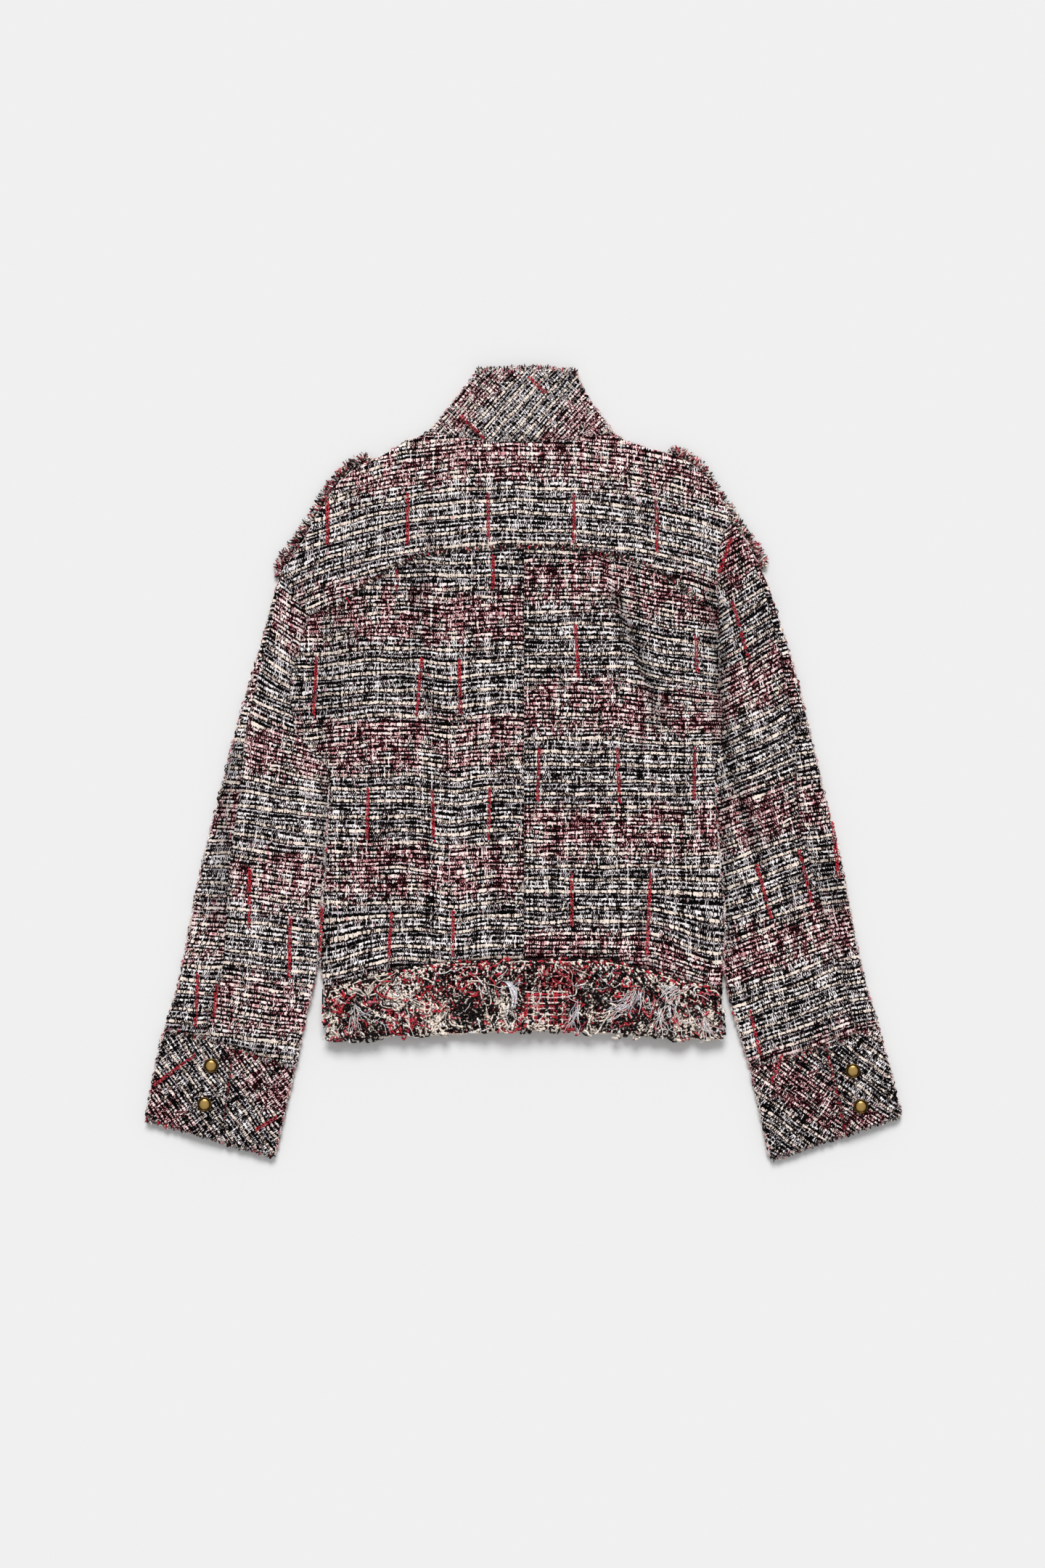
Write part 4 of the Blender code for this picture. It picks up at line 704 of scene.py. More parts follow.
def tubes(name, paths, radii, sides=4, colours=None, taper=0.7):
    """Yarns as one mesh: paths is (yarn, point, xyz) in metres, radii one per yarn."""
    paths = np.asarray(paths, float)
    count, points = paths.shape[:2]
    along = np.gradient(paths, axis=1)
    along /= np.maximum(np.linalg.norm(along, axis=2), 1e-9)[..., None]
    up = np.broadcast_to([0.13, 0.27, 0.95], along.shape)
    one = np.cross(along, up)
    one /= np.maximum(np.linalg.norm(one, axis=2), 1e-9)[..., None]
    two = np.cross(along, one)
    radius = np.asarray(radii, float)[:, None] * np.ones(points)[None]
    radius[:, 0] *= taper
    radius[:, -1] *= taper
    paths = paths.copy()
    paths[..., 2] = np.maximum(paths[..., 2], radius + 0.0001)  # on the floor, not in it
    angles = np.arange(sides) * 2 * math.pi / sides
    ring = (
        paths[:, :, None]
        + radius[:, :, None, None] * (np.cos(angles)[:, None] * one[:, :, None] + np.sin(angles)[:, None] * two[:, :, None])
    )
    index = np.arange(count * points * sides).reshape(count, points, sides)
    a, b = index[:, :-1], index[:, 1:]
    walls = np.stack([a, np.roll(a, -1, 2), np.roll(b, -1, 2), b], axis=-1).reshape(-1, 4)
    if sides == 4:
        caps = np.concatenate([index[:, 0, ::-1], index[:, -1]])
    else:
        caps = np.concatenate(
            [index[:, 0, [2, 1, 0, 0]], index[:, -1, [0, 1, 2, 2]]]
        )[:0]
    obj = mesh_of(name, ring.reshape(-1, 3), np.concatenate([walls, caps.reshape(-1, 4)]))
    if colours is not None:
        tint = obj.data.color_attributes.new("yarn", "FLOAT_COLOR", "POINT")
        per = np.repeat(np.concatenate([colours, np.ones((count, 1))], axis=1), points * sides, axis=0)
        tint.data.foreach_set("color", np.ascontiguousarray(per, np.float32).ravel())
    return obj


# -------------------------------------------------------------------- weave
# Each gives the place in the woven cloth, warp and weft, in tenths of a metre.
# A weft of 0 is the middle of a rose zone, and the cloth repeats every 128 mm.
def woven(warp, weft):
    return np.stack([warp * UNIT * 10, weft * UNIT * 10], axis=-1)


def weave_yoke(xy, layer):
    x, y = xy[..., 0] - CENTRE, xy[..., 1]
    drop = 45 * (np.abs(x) / 286) ** 2.3
    return woven(x - 3, y - drop - 635)


def weave_left(xy, layer):
    x, y = xy[..., 0], xy[..., 1]
    sag = 5 * np.exp(-(((x - 622) / 34) ** 2)) * smooth((y - 790) / 60)
    sag = sag + 24 * smooth((565 - x) / 125) * smooth((y - 1235) / 90)
    sag = sag + 9 * smooth((520 - x) / 100) * (1 - smooth((y - 1000) / 110))
    return woven(x - CENTRE, y - sag - 855)


def weave_right(xy, layer):
    x, y = xy[..., 0], xy[..., 1]
    sag = 26 * smooth((x - 885) / 105) * smooth((y - 1205) / 100)
    sag = sag + 8 * smooth((x - 832) / 95) * (1 - smooth((y - 985) / 120))
    past = x - (848 + 0.36 * (y - 826))  # beyond the pleat the rows start lower and fall away
    sag = sag + (0.15 * np.maximum(past, 0) + 5 * smooth((past + 5) / 10)) * (1 - smooth((y - 925) / 90))
    return woven(x - CENTRE + 9, y - sag - 805)


def weave_sleeve_left(xy, layer):
    x, y = xy[..., 0], xy[..., 1]
    slope = 0.13 + 0.49 * (1 - smooth((y - 850) / 290))
    return woven(x + 0.10 * (y - 1100) - 300, y - slope * (x - 392 + 0.12 * (y - 850)) - 1215)


def weave_sleeve_right(xy, layer):
    x, y = xy[..., 0], xy[..., 1]
    slope = -0.35 - 0.24 * (1 - smooth((y - 850) / 290))
    return woven(x - 0.26 * (y - 1100) - 1000, y - slope * (x - 1032 - 0.145 * (y - 850)) - 1297)


def weave_strip_left(xy, layer):
    x, y = xy[..., 0], xy[..., 1]
    return woven(x + 0.20 * (y - 1100) - 250, y - 0.04 * (x - 300) - 1120)


def weave_strip_right(xy, layer):
    x, y = xy[..., 0], xy[..., 1]
    return woven(x - 0.22 * (y - 1100) - 1100, y + 0.16 * (x - 1150) - 1110)


def turned(xy, degrees, at):
    """Weft rows that fall to the right by that angle; at is in the middle of a rose zone."""
    a = math.radians(degrees)
    x, y = xy[..., 0] - at[0], xy[..., 1] - at[1]
    return woven(x * math.cos(a) + y * math.sin(a), y * math.cos(a) - x * math.sin(a))


def weave_cuff_left(xy, layer):
    return turned(xy, 55, (230, 1560))


def weave_cuff_right(xy, layer):
    return turned(xy, 36, (1110, 1510))


def weave_collar(xy, layer):
    return turned(xy, -48, (815, 572))


def weave_band(xy, layer):
    return turned(xy, 90, (762, 1380))


def weave_tab_left(xy, layer):
    return turned(xy, -58, (470, 660))


def weave_tab_right(xy, layer):
    return turned(xy, 52, (980, 680))


# -------------------------------------------------------------------- build
COLLAR_FRONT_COLS = 7  # columns of the collar across each front
COLLAR_COLS = 12  # columns of the collar across the back
ARM, LOWER, UPPER = 8, 6, 5  # rows along the armhole, below it, and beside the yoke
BACK_COLS = 13

shoulder_l, shoulder_r = outer_left.at[OUTER_LEFT_SHOULDER], outer_right.at[OUTER_RIGHT_SHOULDER]
neck_l, neck_r = outer_left.at[OUTER_LEFT_NECK], outer_right.at[OUTER_RIGHT_NECK]
arm_yoke_l, arm_yoke_r = armhole_left.at[ARMHOLE_LEFT_YOKE], armhole_right.at[ARMHOLE_RIGHT_YOKE]
band_l = side_left.at[SIDE_LEFT_BAND + BELOW]
band_r = side_right.at[SIDE_RIGHT_BAND + BELOW]
seam_mid = band_seam.at[3]


def rows_down(*counts):
    """Even rows in each stretch of an edge that chain() joins at equal steps of share."""
    total = sum(counts)
    return np.linspace(0, 1, total + 1), [sum(counts[: k + 1]) / total for k in range(len(counts))]


YOKE_ROWS = 7


def beside_yoke(armhole, arm_yoke, first):
    """The armhole beside the yoke, with its rows where the yoke's own rows are."""
    chord = max(float(np.hypot(*(armhole(arm_yoke) - armhole(0.0)))), 30.0)
    stops = shares(chord, YOKE_ROWS, True, False)[2:]
    stops[0] = first
    return lambda s: armhole(arm_yoke * np.interp(s, np.linspace(0, 1, UPPER + 1), stops))


# Columns of the yoke; the collar and the back panels share them at their seams.
cols = 2 * BACK_COLS
NECK_FROM, NECK_TO = 7, 7 + COLLAR_COLS  # columns where the neck seam starts and ends
neck_width = float(np.hypot(*(neck_back(1.0) - neck_back(0.0))))
u1 = np.linspace(0, 1, cols + 1)
u1[NECK_FROM : NECK_TO + 1] = u1[NECK_FROM] + (u1[NECK_TO] - u1[NECK_FROM]) * shares(
    neck_width, COLLAR_COLS, True, True
)

# Back panels: yoke seam at the top, armhole then side at one side, centre back.
v, (v_arm, v_turn, _) = rows_down(ARM, 1, LOWER)
weight = smooth((v - 0.85 * v_arm) / (0.25 * v_arm))


def back_panel(name, is_left):
    if is_left:
        outside = chain(
            (v_arm, stretch(armhole_left, arm_yoke_l, 1)),
            (v_turn, stretch(side_left, 0, side_left.at[TURN])),
            (1, stretch(side_left, side_left.at[TURN], band_l)),
        )
        inside = Curve([(CENTRE, YOKE_SEAM_LEFT[-1][1]), (CENTRE, BAND_SEAM[2][1])])
        top, bottom = yoke_seam_left, stretch(band_seam, 0, seam_mid)
        left, right = outside, inside
    else:
        outside = chain(
            (v_arm, stretch(armhole_right, arm_yoke_r, 1)),
            (v_turn, stretch(side_right, 0, side_right.at[TURN])),
            (1, stretch(side_right, side_right.at[TURN], band_r)),
        )
        inside = Curve([(CENTRE, YOKE_SEAM_LEFT[-1][1]), (CENTRE, BAND_SEAM[2][1])])
        top, bottom = yoke_seam_right, stretch(band_seam, seam_mid, 1)
        left, right = inside, outside
    own = u1[: BACK_COLS + 1] * 2 if is_left else u1[BACK_COLS:] * 2 - 1
    u = across(left, right, v, BACK_COLS, is_left, not is_left, weight, even=own)
    xy = patch(left, right, top, bottom, *fine(u, v, 5, 8))
    return cloth(f"cloth_{name}", xy, 1, weave_left if is_left else weave_right)


pieces = {}
for name, is_left in (("back_panel_left", True), ("back_panel_right", False)):
    pieces[name] = back_panel(name, is_left)

# Yoke: shoulder folds and neck seam at the top, the arched seam at the bottom.
top = chain(
    (NECK_FROM / cols, stretch(outer_left, shoulder_l, neck_l)),
    (NECK_TO / cols, neck_back),
    (1, stretch(outer_right, neck_r, shoulder_r)),
)
bottom = chain((0.5, yoke_seam_left), (1, yoke_seam_right))
left = stretch(armhole_left, 0, arm_yoke_l)
right = stretch(armhole_right, 0, arm_yoke_r)
depth = np.hypot(*(bottom(u1) - top(u1)).T)
vv = np.array([shares(d, YOKE_ROWS, True, False) for d in np.maximum(depth, 30)]).T
xy = patch(left, right, top, bottom, *fine(np.repeat(u1[None], YOKE_ROWS + 1, 0), vv, 5, 6))
# The yoke's raw edge lies over the panels below it.
to_seam, _, _ = distance(xy, YOKE_SEAM)
pieces["back_yoke"] = cloth("cloth_back_yoke", xy, 1, weave_yoke, lift=(0.0012 * np.exp(-to_seam / 9))[..., None])

# Fronts: on the floor under the back, lapped at centre front.
v, (v_yoke, v_arm, v_turn, _) = rows_down(UPPER, ARM, 1, LOWER)


def front(name, is_left):
    cols_shoulder, cols_neck, cols_lap = 5, COLLAR_FRONT_COLS, 1
    side = 1 if is_left else -1
    lap_x = CENTRE + side * LAP
    curve, shoulder, neck = (
        (outer_left, shoulder_l, neck_l) if is_left else (outer_right, shoulder_r, neck_r)
    )
    neck_front = neck_front_left if is_left else neck_front_right
    armhole, arm_yoke = (
        (armhole_left, arm_yoke_l) if is_left else (armhole_right, arm_yoke_r)
    )
    body_side, body_band = (side_left, band_l) if is_left else (side_right, band_r)
    # Worked out from the armhole towards the lap, and turned round for the right.
    span = abs(lap_x - curve(shoulder)[0])
    to_neck = abs(curve(neck)[0] - curve(shoulder)[0]) / span
    to_centre = abs(CENTRE - side - curve(shoulder)[0]) / span
    top = chain(
        (to_neck, stretch(curve, shoulder, neck)),
        (to_centre, neck_front),
        (1, Curve([neck_front.rows[-1], (lap_x, 672)])),
    )
    outside = chain(
        (v_yoke, beside_yoke(armhole, arm_yoke, 0.0)),
        (v_arm, stretch(armhole, arm_yoke, 1)),
        (v_turn, stretch(body_side, 0, body_side.at[TURN])),
        (1, stretch(body_side, body_side.at[TURN], body_band)),
    )
    along = np.linspace(0, 1, 200)
    end = float(np.interp(lap_x, band_seam(along)[:, 0], along))
    bottom = stretch(band_seam, 0 if is_left else 1, end)
    inside = Curve([(lap_x, 672), band_seam(end)])
    chord = float(np.hypot(*(neck_front(1.0) - neck_front(0.0))))
    neck_shares = shares(chord, cols_neck, True, False)
    first = np.concatenate(
        [
            np.linspace(0, to_neck, cols_shoulder + 1),
            to_neck + (to_centre - to_neck) * neck_shares[1:],
            np.linspace(to_centre, 1, cols_lap + 1)[1:],
        ]
    )
    width = np.hypot(*(inside(v) - outside(v)).T)
    weight = smooth((v - 0.92 * v_arm) / (0.13 * v_arm))
    lap_steps = np.array([0, LAP, 2 * LAP, 2 * LAP + 13, 2 * LAP + 38, 2 * LAP + 64])
    u = []
    for i, w in enumerate(width):
        fold = roll_steps(3) / w
        even = np.linspace(0, 1 - lap_steps[-1] / w, len(first) - len(lap_steps) + 1)
        folded = np.concatenate([fold, np.linspace(fold[-1], even[-1], len(even) - 3)[1:]])
        row = even + (folded - even) * weight[i]
        row = np.concatenate([row, 1 - lap_steps[-2::-1] / w])
        u.append(first + (row - first) * min(1.0, i / 1.0))
    u = np.array(u)
    xy = patch(outside, inside, top, bottom, *fine(u, v, 3, 4))
    if not is_left:
        xy = xy[:, ::-1]
    return cloth(f"cloth_{name}", xy, -1, weave_left if is_left else weave_right, left=is_left)


pieces["front_left"] = front("front_left", True)
pieces["front_right"] = front("front_right", False)


# Sleeves: sections run from the outer fold to the inner edge, which is the
# armhole down to the underarm and then the inner fold.
def sleeve(tag, is_left):
    if is_left:
        outer, inner, armhole = outer_left, sleeve_left_in, armhole_left
        shoulder, cuff_row = OUTER_LEFT_SHOULDER, OUTER_LEFT_CUFF
        inner_cuff, arm_yoke = inner.at[SLEEVE_LEFT_IN_CUFF + BELOW], arm_yoke_l
        beside_corner, beside_underarm = (374, 840), (309, 1072)
        seam_table, cuff_seam = SLEEVE_SEAM_LEFT, cuff_seam_left
    else:
        outer, inner, armhole = outer_right, sleeve_right_in, armhole_right
        shoulder, cuff_row = OUTER_RIGHT_SHOULDER, OUTER_RIGHT_CUFF
        inner_cuff, arm_yoke = inner.at[SLEEVE_RIGHT_IN_CUFF + BELOW], arm_yoke_r
        beside_corner, beside_underarm = (1053, 797), (1124, 1044)
        seam_table = SLEEVE_SEAM_RIGHT
        cuff_seam = lambda s: cuff_seam_right(1 - np.asarray(s))

    def share_near(point):
        along = np.linspace(0, 1, 800)
        return float(along[np.argmin(np.hypot(*(outer(along) - point).T))])

    start = float(outer.at[shoulder]) + 0.005
    inner_start = 0.018
    underarm = share_near(beside_underarm)
    breaks = [start, share_near(beside_corner), underarm, underarm + 0.005, float(outer.at[cuff_row])]
    v, ends = rows_down(UPPER, ARM, 1, LOWER + 2)
    v_yoke, v_arm = ends[0], ends[1]
    outside = chain(*[(e, stretch(outer, a, b)) for e, a, b in zip(ends, breaks, breaks[1:])])
    inside = chain(
        (v_yoke, beside_yoke(armhole, arm_yoke, inner_start / arm_yoke)),
        (v_arm, stretch(armhole, arm_yoke, 1)),
        (ends[2], stretch(inner, 0, inner.at[TURN])),
        (1, stretch(inner, inner.at[TURN], inner_cuff)),
    )
    top = Curve([outside(0.0), inside(0.0)])
    bottom = cuff_seam
    a, b = outside(v), inside(v)
    width = np.hypot(*(b - a).T)
    # Length down the sleeve as a share, for the table of the seam.
    down = np.concatenate([[0], np.cumsum(np.hypot(*np.diff(a, axis=0).T))])
    down /= down[-1]
    seam = np.interp(down, *np.array(seam_table).T)
    seam = np.minimum(seam, 0.3 * width)
    r = ROLL * MM
    weight = smooth((v - 0.92 * v_arm) / (0.13 * v_arm))
    n_back, n_flat = 8, 4
    back, under, fold_cols = [], [], None
    for i, w in enumerate(width):
        r_i = min(r, 0.34 * w)
        steps_in = r_i * (1 - np.cos(np.linspace(0, math.pi / 2, 4)))
        even = np.linspace(seam[i], w, n_back + 1)
        folded = np.concatenate([np.linspace(seam[i], w - r_i, n_back - 2), w - steps_in[-2::-1]])
        back.append((even + (folded - even) * weight[i]) / w)
        # From the seam out to the fold, round it, and back under to the inner edge.
        reach = max(seam[i], 0.2)
        out_steps = reach * np.array([1.0, 0.5, 0.14, 0.0])
        if seam[i] > r_i:
            out_steps = np.array([seam[i], r_i * 0.6, r_i * 0.15, 0.0])
        flat_even = np.linspace(r_i, w, n_flat + 4)
        flat_folded = np.concatenate(
            [np.linspace(r_i, w - r_i, n_flat + 1), w - steps_in[-2::-1]]
        )
        flat = flat_even + (flat_folded - flat_even) * weight[i]
        under.append(np.concatenate([out_steps, steps_in[1:-1], flat]) / w)
    weave = weave_sleeve_left if is_left else weave_sleeve_right
    xy = patch(outside, inside, top, bottom, *fine(np.array(back), v, 3, 6))
    name = f"sleeve_{tag}_back"
    pieces[name] = cloth(f"cloth_{name}", xy, 1, weave)
    xy = patch(outside, inside, top, bottom, *fine(np.array(under), v, 3, 6))
    layer = np.where(np.arange(xy.shape[1]) <= 9, 1.0, -1.0)[None]
    name = f"sleeve_{tag}_front"
    pieces[name] = cloth(f"cloth_{name}", xy, layer, weave_strip_left if is_left else weave_strip_right)


sleeve("left", True)
sleeve("right", False)


def fold_in(width, steps=3):
    return roll_steps(steps) / width


# Cuffs: a strip round the wrist whose upper end laps over its under end.
def cuff_grid(is_left):
    if is_left:
        outer, inner = outer_left, sleeve_left_in
        outer_from, inner_from = outer.at[OUTER_LEFT_CUFF], inner.at[SLEEVE_LEFT_IN_CUFF + BELOW]
        seam, end, edge = cuff_seam_left, cuff_end_left, CUFF_EDGE_LEFT
    else:
        outer, inner = outer_right, sleeve_right_in
        outer_from, inner_from = outer.at[OUTER_RIGHT_CUFF], inner.at[SLEEVE_RIGHT_IN_CUFF + BELOW]
        seam = lambda s: cuff_seam_right(1 - np.asarray(s))
        end = lambda s: cuff_end_right(1 - np.asarray(s))
        edge = CUFF_EDGE_RIGHT
    outside, inside = stretch(outer, outer_from, 1), stretch(inner, inner_from, 1)
    v = np.linspace(0, 1, 5)
    a, b = outside(v), inside(v)
    width = np.hypot(*(b - a).T)
    free = (np.interp(v, (0, 1), edge) - a[:, 0]) / (b[:, 0] - a[:, 0])
    u, flat = [], np.linspace(0, 1, 5)
    for w, f in zip(width, free):
        lap = CUFF_LAP / w
        fold = fold_in(w)
        flap = [f, f - 0.5 * lap, f - lap - 4 / w, f - lap - 15 / w, f - lap - 27 / w]
        upper = np.concatenate([flap, fold[:0:-1]])
        below = np.concatenate([[0], fold[1:], fold[-1] + flat[1:-1] * (1 - 2 * fold[-1]), 1 - fold[:0:-1], [1]])
        start = 1 - fold[-1]
        back = np.concatenate([1 - fold[1:], start + np.linspace(0, 1, 5)[1:] * (f - lap - start)])
        u.append(np.concatenate([upper, below, back]))
    n_upper, n_below, by = 5 + 3, 1 + 3 + 3 + 3 + 1, 4
    u, vv = fine(np.array(u), v, by, 8)
    column = np.arange(u.shape[1])
    layer = np.where((column < n_upper * by) | (column > (n_upper + n_below - 1) * by), 1.0, -1.0)
    xy = patch(outside, inside, seam, end, u, vv)
    # The upper end rises over the under end.
    width = np.interp(vv[:, 0], v, width)[:, None]
    free = np.interp(vv[:, 0], v, free)[:, None]
    rise = LAYER * smooth((u - free) * width / 22 + (CUFF_LAP + 26) / 22)
    rise = np.where(column[None] < n_upper * by, rise, 0)
    return xy, np.repeat(layer[None], len(xy), 0), rise


for tag, is_left in (("left", True), ("right", False)):
    xy, layer, rise = cuff_grid(is_left)
    pieces[f"cuff_{tag}"] = cloth(
        f"cloth_cuff_{tag}", xy, layer, weave_cuff_left if is_left else weave_cuff_right, extra=rise
    )

# Collar: one strip from centre front round the back to centre front.
v = np.linspace(0, 1, 6)
neck_to_top_l, neck_to_top_r = stretch(outer_left, neck_l, 0), stretch(outer_right, neck_r, 0)
front_l = Curve([NECK_FRONT_LEFT[-1], COLLAR_FRONT_LEFT[-1]])
front_r = Curve([NECK_FRONT_RIGHT[-1], COLLAR_FRONT_RIGHT[-1]])
collar_top = Curve([outer_left.rows[0], (725, 510), outer_right.rows[0]])
collar_parts, collar_layers, collar_sides = [], [], []
for fold, middle, neck_edge, top_edge, first in (
    (neck_to_top_l, front_l, neck_front_left, collar_front_left, True),
    (neck_to_top_r, front_r, neck_front_right, collar_front_right, False),
):
    width = np.hypot(*(middle(v) - fold(v)).T)
    u = np.array([shares(w, COLLAR_FRONT_COLS, True, False) for w in width])
    xy = patch(fold, middle, neck_edge, top_edge, *fine(u, v, 4, 5))
    collar_parts.append(xy[:, :0:-1] if first else xy[:, 1:])
    collar_layers.append(-np.ones(xy.shape[1] - 1))
    collar_sides.append(np.full(xy.shape[1] - 1, first))
width = np.hypot(*(neck_to_top_r(v) - neck_to_top_l(v)).T)
u = np.array([shares(w, COLLAR_COLS, True, True) for w in width])
back = patch(neck_to_top_l, neck_to_top_r, neck_back, collar_top, *fine(u, v, 4, 5))
xy = np.concatenate([collar_parts[0], back, collar_parts[1]], axis=1)
layer = np.concatenate([collar_layers[0], np.ones(back.shape[1]), collar_layers[1]])
sides = np.concatenate([collar_sides[0], np.zeros(back.shape[1], bool), collar_sides[1]])
pieces["collar"] = cloth("cloth_collar", xy, np.repeat(layer[None], len(xy), 0), weave_collar, left=sides[None])

# Hem band: one strip from the lap round the hem to the lap.
BAND_ROWS = 4
v = np.linspace(0, 1, BAND_ROWS + 1)
down_l, down_r = stretch(side_left, band_l, 1), stretch(side_right, band_r, 1)
width = np.hypot(*(down_r(v) - down_l(v)).T)
band_u, band_top = [], []
for w, x0 in zip(width, down_l(v)[:, 0]):
    fold = fold_in(w)
    lap = lambda x: (x - x0) / w
    right_part = np.concatenate(
        [[lap(CENTRE + d) for d in (-LAP, 0, LAP, LAP + 24, LAP + 90, LAP + 160)], 1 - fold[:0:-1]]
    )
    top_part = shares(w, 20, True, True)[::-1]
    left_part = np.concatenate(
        [fold[1:], [lap(CENTRE + d) for d in (-LAP - 160, -LAP - 90, -LAP - 58, -LAP - 34, -LAP - 12, 0, LAP)]]
    )
    band_u.append(np.concatenate([right_part, top_part, left_part]))
band_u = np.array(band_u)
n_right, n_top, by = 9, 21, 5
u, vv = fine(band_u, v, by, 6)
column = np.arange(u.shape[1])
layer = np.where((column >= n_right * by) & (column <= (n_right + n_top - 1) * by), 1.0, -1.0)
sides = column > (n_right + n_top - 1) * by
band_xy = patch(down_l, down_r, band_seam, hem, u, vv)
pieces["hem_band"] = cloth("cloth_hem_band", band_xy, np.repeat(layer[None], len(u), 0), weave_band, left=sides[None])

# Shoulder tabs, on the floor under the shoulder folds.
for name, rows, side, weave in (
    ("epaulette_left", TAB_LEFT, 1, weave_tab_left), ("epaulette_right", TAB_RIGHT, -1, weave_tab_right),
):
    along = np.linspace(0, 1, 9)
    edge, far = Curve(rows)(along), moved_in(rows, side, TAB_WIDTH)(along)
    coarse = np.stack([edge, 0.5 * (edge + far), far], axis=1)
    u, v = fine(np.linspace(0, 1, 3)[None], np.linspace(0, 1, 9), 6, 4)
    pick = lambda k: np.stack([np.interp(v[:, 0], along, coarse[:, k, axis]) for axis in (0, 1)], axis=-1)
    xy = pick(0)[:, None] * (1 - u)[..., None] + pick(2)[:, None] * u[..., None]
    flat = np.full(xy.shape[:-1], CLOTH / 2) + 0.8 * np.exp(-u * TAB_WIDTH / 7)
    normal = np.zeros(xy.shape) [..., :1] * 0 + np.array([0, 0, 1.0])
    middle = metres(xy, flat) + SHIFT
    count = xy.shape[0] * xy.shape[1]
    index = np.arange(count).reshape(xy.shape[:2])
    quads = np.stack([index[:-1, :-1], index[:-1, 1:], index[1:, 1:], index[1:, :-1]], axis=-1).reshape(-1, 4)
    rim = np.concatenate([index[0, :-1], index[:-1, -1], index[-1, :0:-1], index[:0:-1, 0]])
    ahead = np.roll(rim, -1)
    verts = np.concatenate([(middle + normal * CLOTH / 2000).reshape(-1, 3), (middle - normal * CLOTH / 2000).reshape(-1, 3)])
    a, b, c = verts[quads[0, 0]], verts[quads[0, 1]], verts[quads[0, 2]]
    sides = np.stack([rim + count, ahead + count, ahead, rim], axis=-1)
    if np.cross(b - a, c - a)[2] < 0:
        quads, sides = quads[:, ::-1], sides[:, ::-1]
    pieces[name] = mesh_of(f"cloth_{name}", verts, np.concatenate([quads, quads[:, ::-1] + count, sides]))
    place = weave(xy, None).reshape(-1, 2)
    set_uv(pieces[name], "cloth", np.concatenate([place, place]))


# --------------------------------------------------------------------- yarn
def linear(*srgb):
    return tuple(c / 12.92 if c <= 0.04045 else ((c + 0.055) / 1.055) ** 2.4 for c in srgb)


CREAM, WHITE = linear(0.97, 0.915, 0.865), linear(0.96, 0.943, 0.948)
PALE_PINK, ROSE = linear(0.93, 0.80, 0.79), linear(0.80, 0.45, 0.50)
DEEP_ROSE, RED = linear(0.55, 0.19, 0.25), linear(0.76, 0.20, 0.25)
BLACK, NAVY = linear(0.09, 0.06, 0.065), linear(0.10, 0.10, 0.16)
LAVENDER, BLUE_GREY = linear(0.72, 0.68, 0.72), linear(0.74, 0.76, 0.82)
GREY = linear(0.80, 0.78, 0.80)

# Tones of the cloth from its darkest to its lightest, plain and rose.
TONE_STOPS = (0.0, 0.34, 0.50, 0.68, 0.90)
PLAIN_TONES = (linear(0.0, 0.0, 0.0), linear(0.05, 0.03, 0.035), linear(0.52, 0.47, 0.48), linear(0.935, 0.91, 0.905), linear(1.0, 1.0, 1.0))
ROSE_TONES = (linear(0.03, 0.0, 0.005), linear(0.24, 0.045, 0.075), linear(0.71, 0.39, 0.43), linear(0.95, 0.79, 0.79), linear(1.0, 0.95, 0.94))
RED_TONES = (linear(0.05, 0.0, 0.01), linear(0.34, 0.03, 0.07), linear(0.76, 0.22, 0.27), linear(0.95, 0.62, 0.60), linear(1.0, 0.92, 0.88))

rng = np.random.default_rng(11)


def picked(count, *choices):
    """A colour for each yarn from pairs of colour and weight, a little uneven."""
    weights = np.array([w for _, w in choices], float)
    index = rng.choice(len(choices), count, p=weights / weights.sum())
    colours = np.array([c for c, _ in choices])[index]
    return np.clip(colours * rng.uniform(0.8, 1.15, (count, 1)), 0, 1)


def surface(xy, layer=1):
    """Point on the outside of the cloth and its outward direction, for plan points."""
    z, normal, _ = heights(xy, np.full(xy.shape[:-1], float(layer)))
    normal = normal * [1, -1, 1]
    return metres(xy, z) + SHIFT + normal * (CLOTH / 2000), normal


FRAY = ((BLACK, 7), (CREAM, 2.6), (WHITE, 1.6), (RED, 0.9), (ROSE, 1.4), (DEEP_ROSE, 1.4), (LAVENDER, 0.8))
yarn_pieces = []


def frayed(name, edge, out, count, reach, thick, choices, base=None, lift=1.0, inside=4.0, points=6, on_cloth=True):
    """Loose ends along an edge: edge(share) in the plan, out(share) its direction out."""
    share = rng.random(count)
    start = edge(share)
    direction = out(share) + rng.normal(0, 0.42, (count, 2))
    direction /= np.hypot(*direction.T)[:, None]
    length = rng.uniform(*reach, count) + inside
    s = np.linspace(0, 1, points)
    bend = np.stack([-direction[:, 1], direction[:, 0]], axis=1)
    curl = rng.normal(0, 0.22, count)[:, None] * s**2 * length[:, None] + (
        rng.uniform(0.2, 1.1, count)[:, None] * np.sin(s * rng.uniform(3, 8, count)[:, None] + rng.uniform(0, 6, count)[:, None])
    )
    xy = (start - direction * inside)[:, None] + direction[:, None] * (length[:, None] * s)[..., None] + bend[:, None] * curl[..., None]
    up = rng.uniform(0.15, 1.0, count)[:, None] * lift * np.sin(np.clip(s * 1.15, 0, 1) * math.pi * rng.uniform(0.55, 1.0, count)[:, None])
    if base is None:
        at, normal = surface(xy)
        paths = at + normal * 0.0004 + np.array([0, 0, 0.001]) * up[..., None]
    else:
        paths = metres(xy, base + up) + SHIFT
    radii = rng.uniform(*thick, count) / 1000
    obj = tubes(name, paths, radii, 3, picked(count, *choices))
    yarn_pieces.append(obj)
    return obj


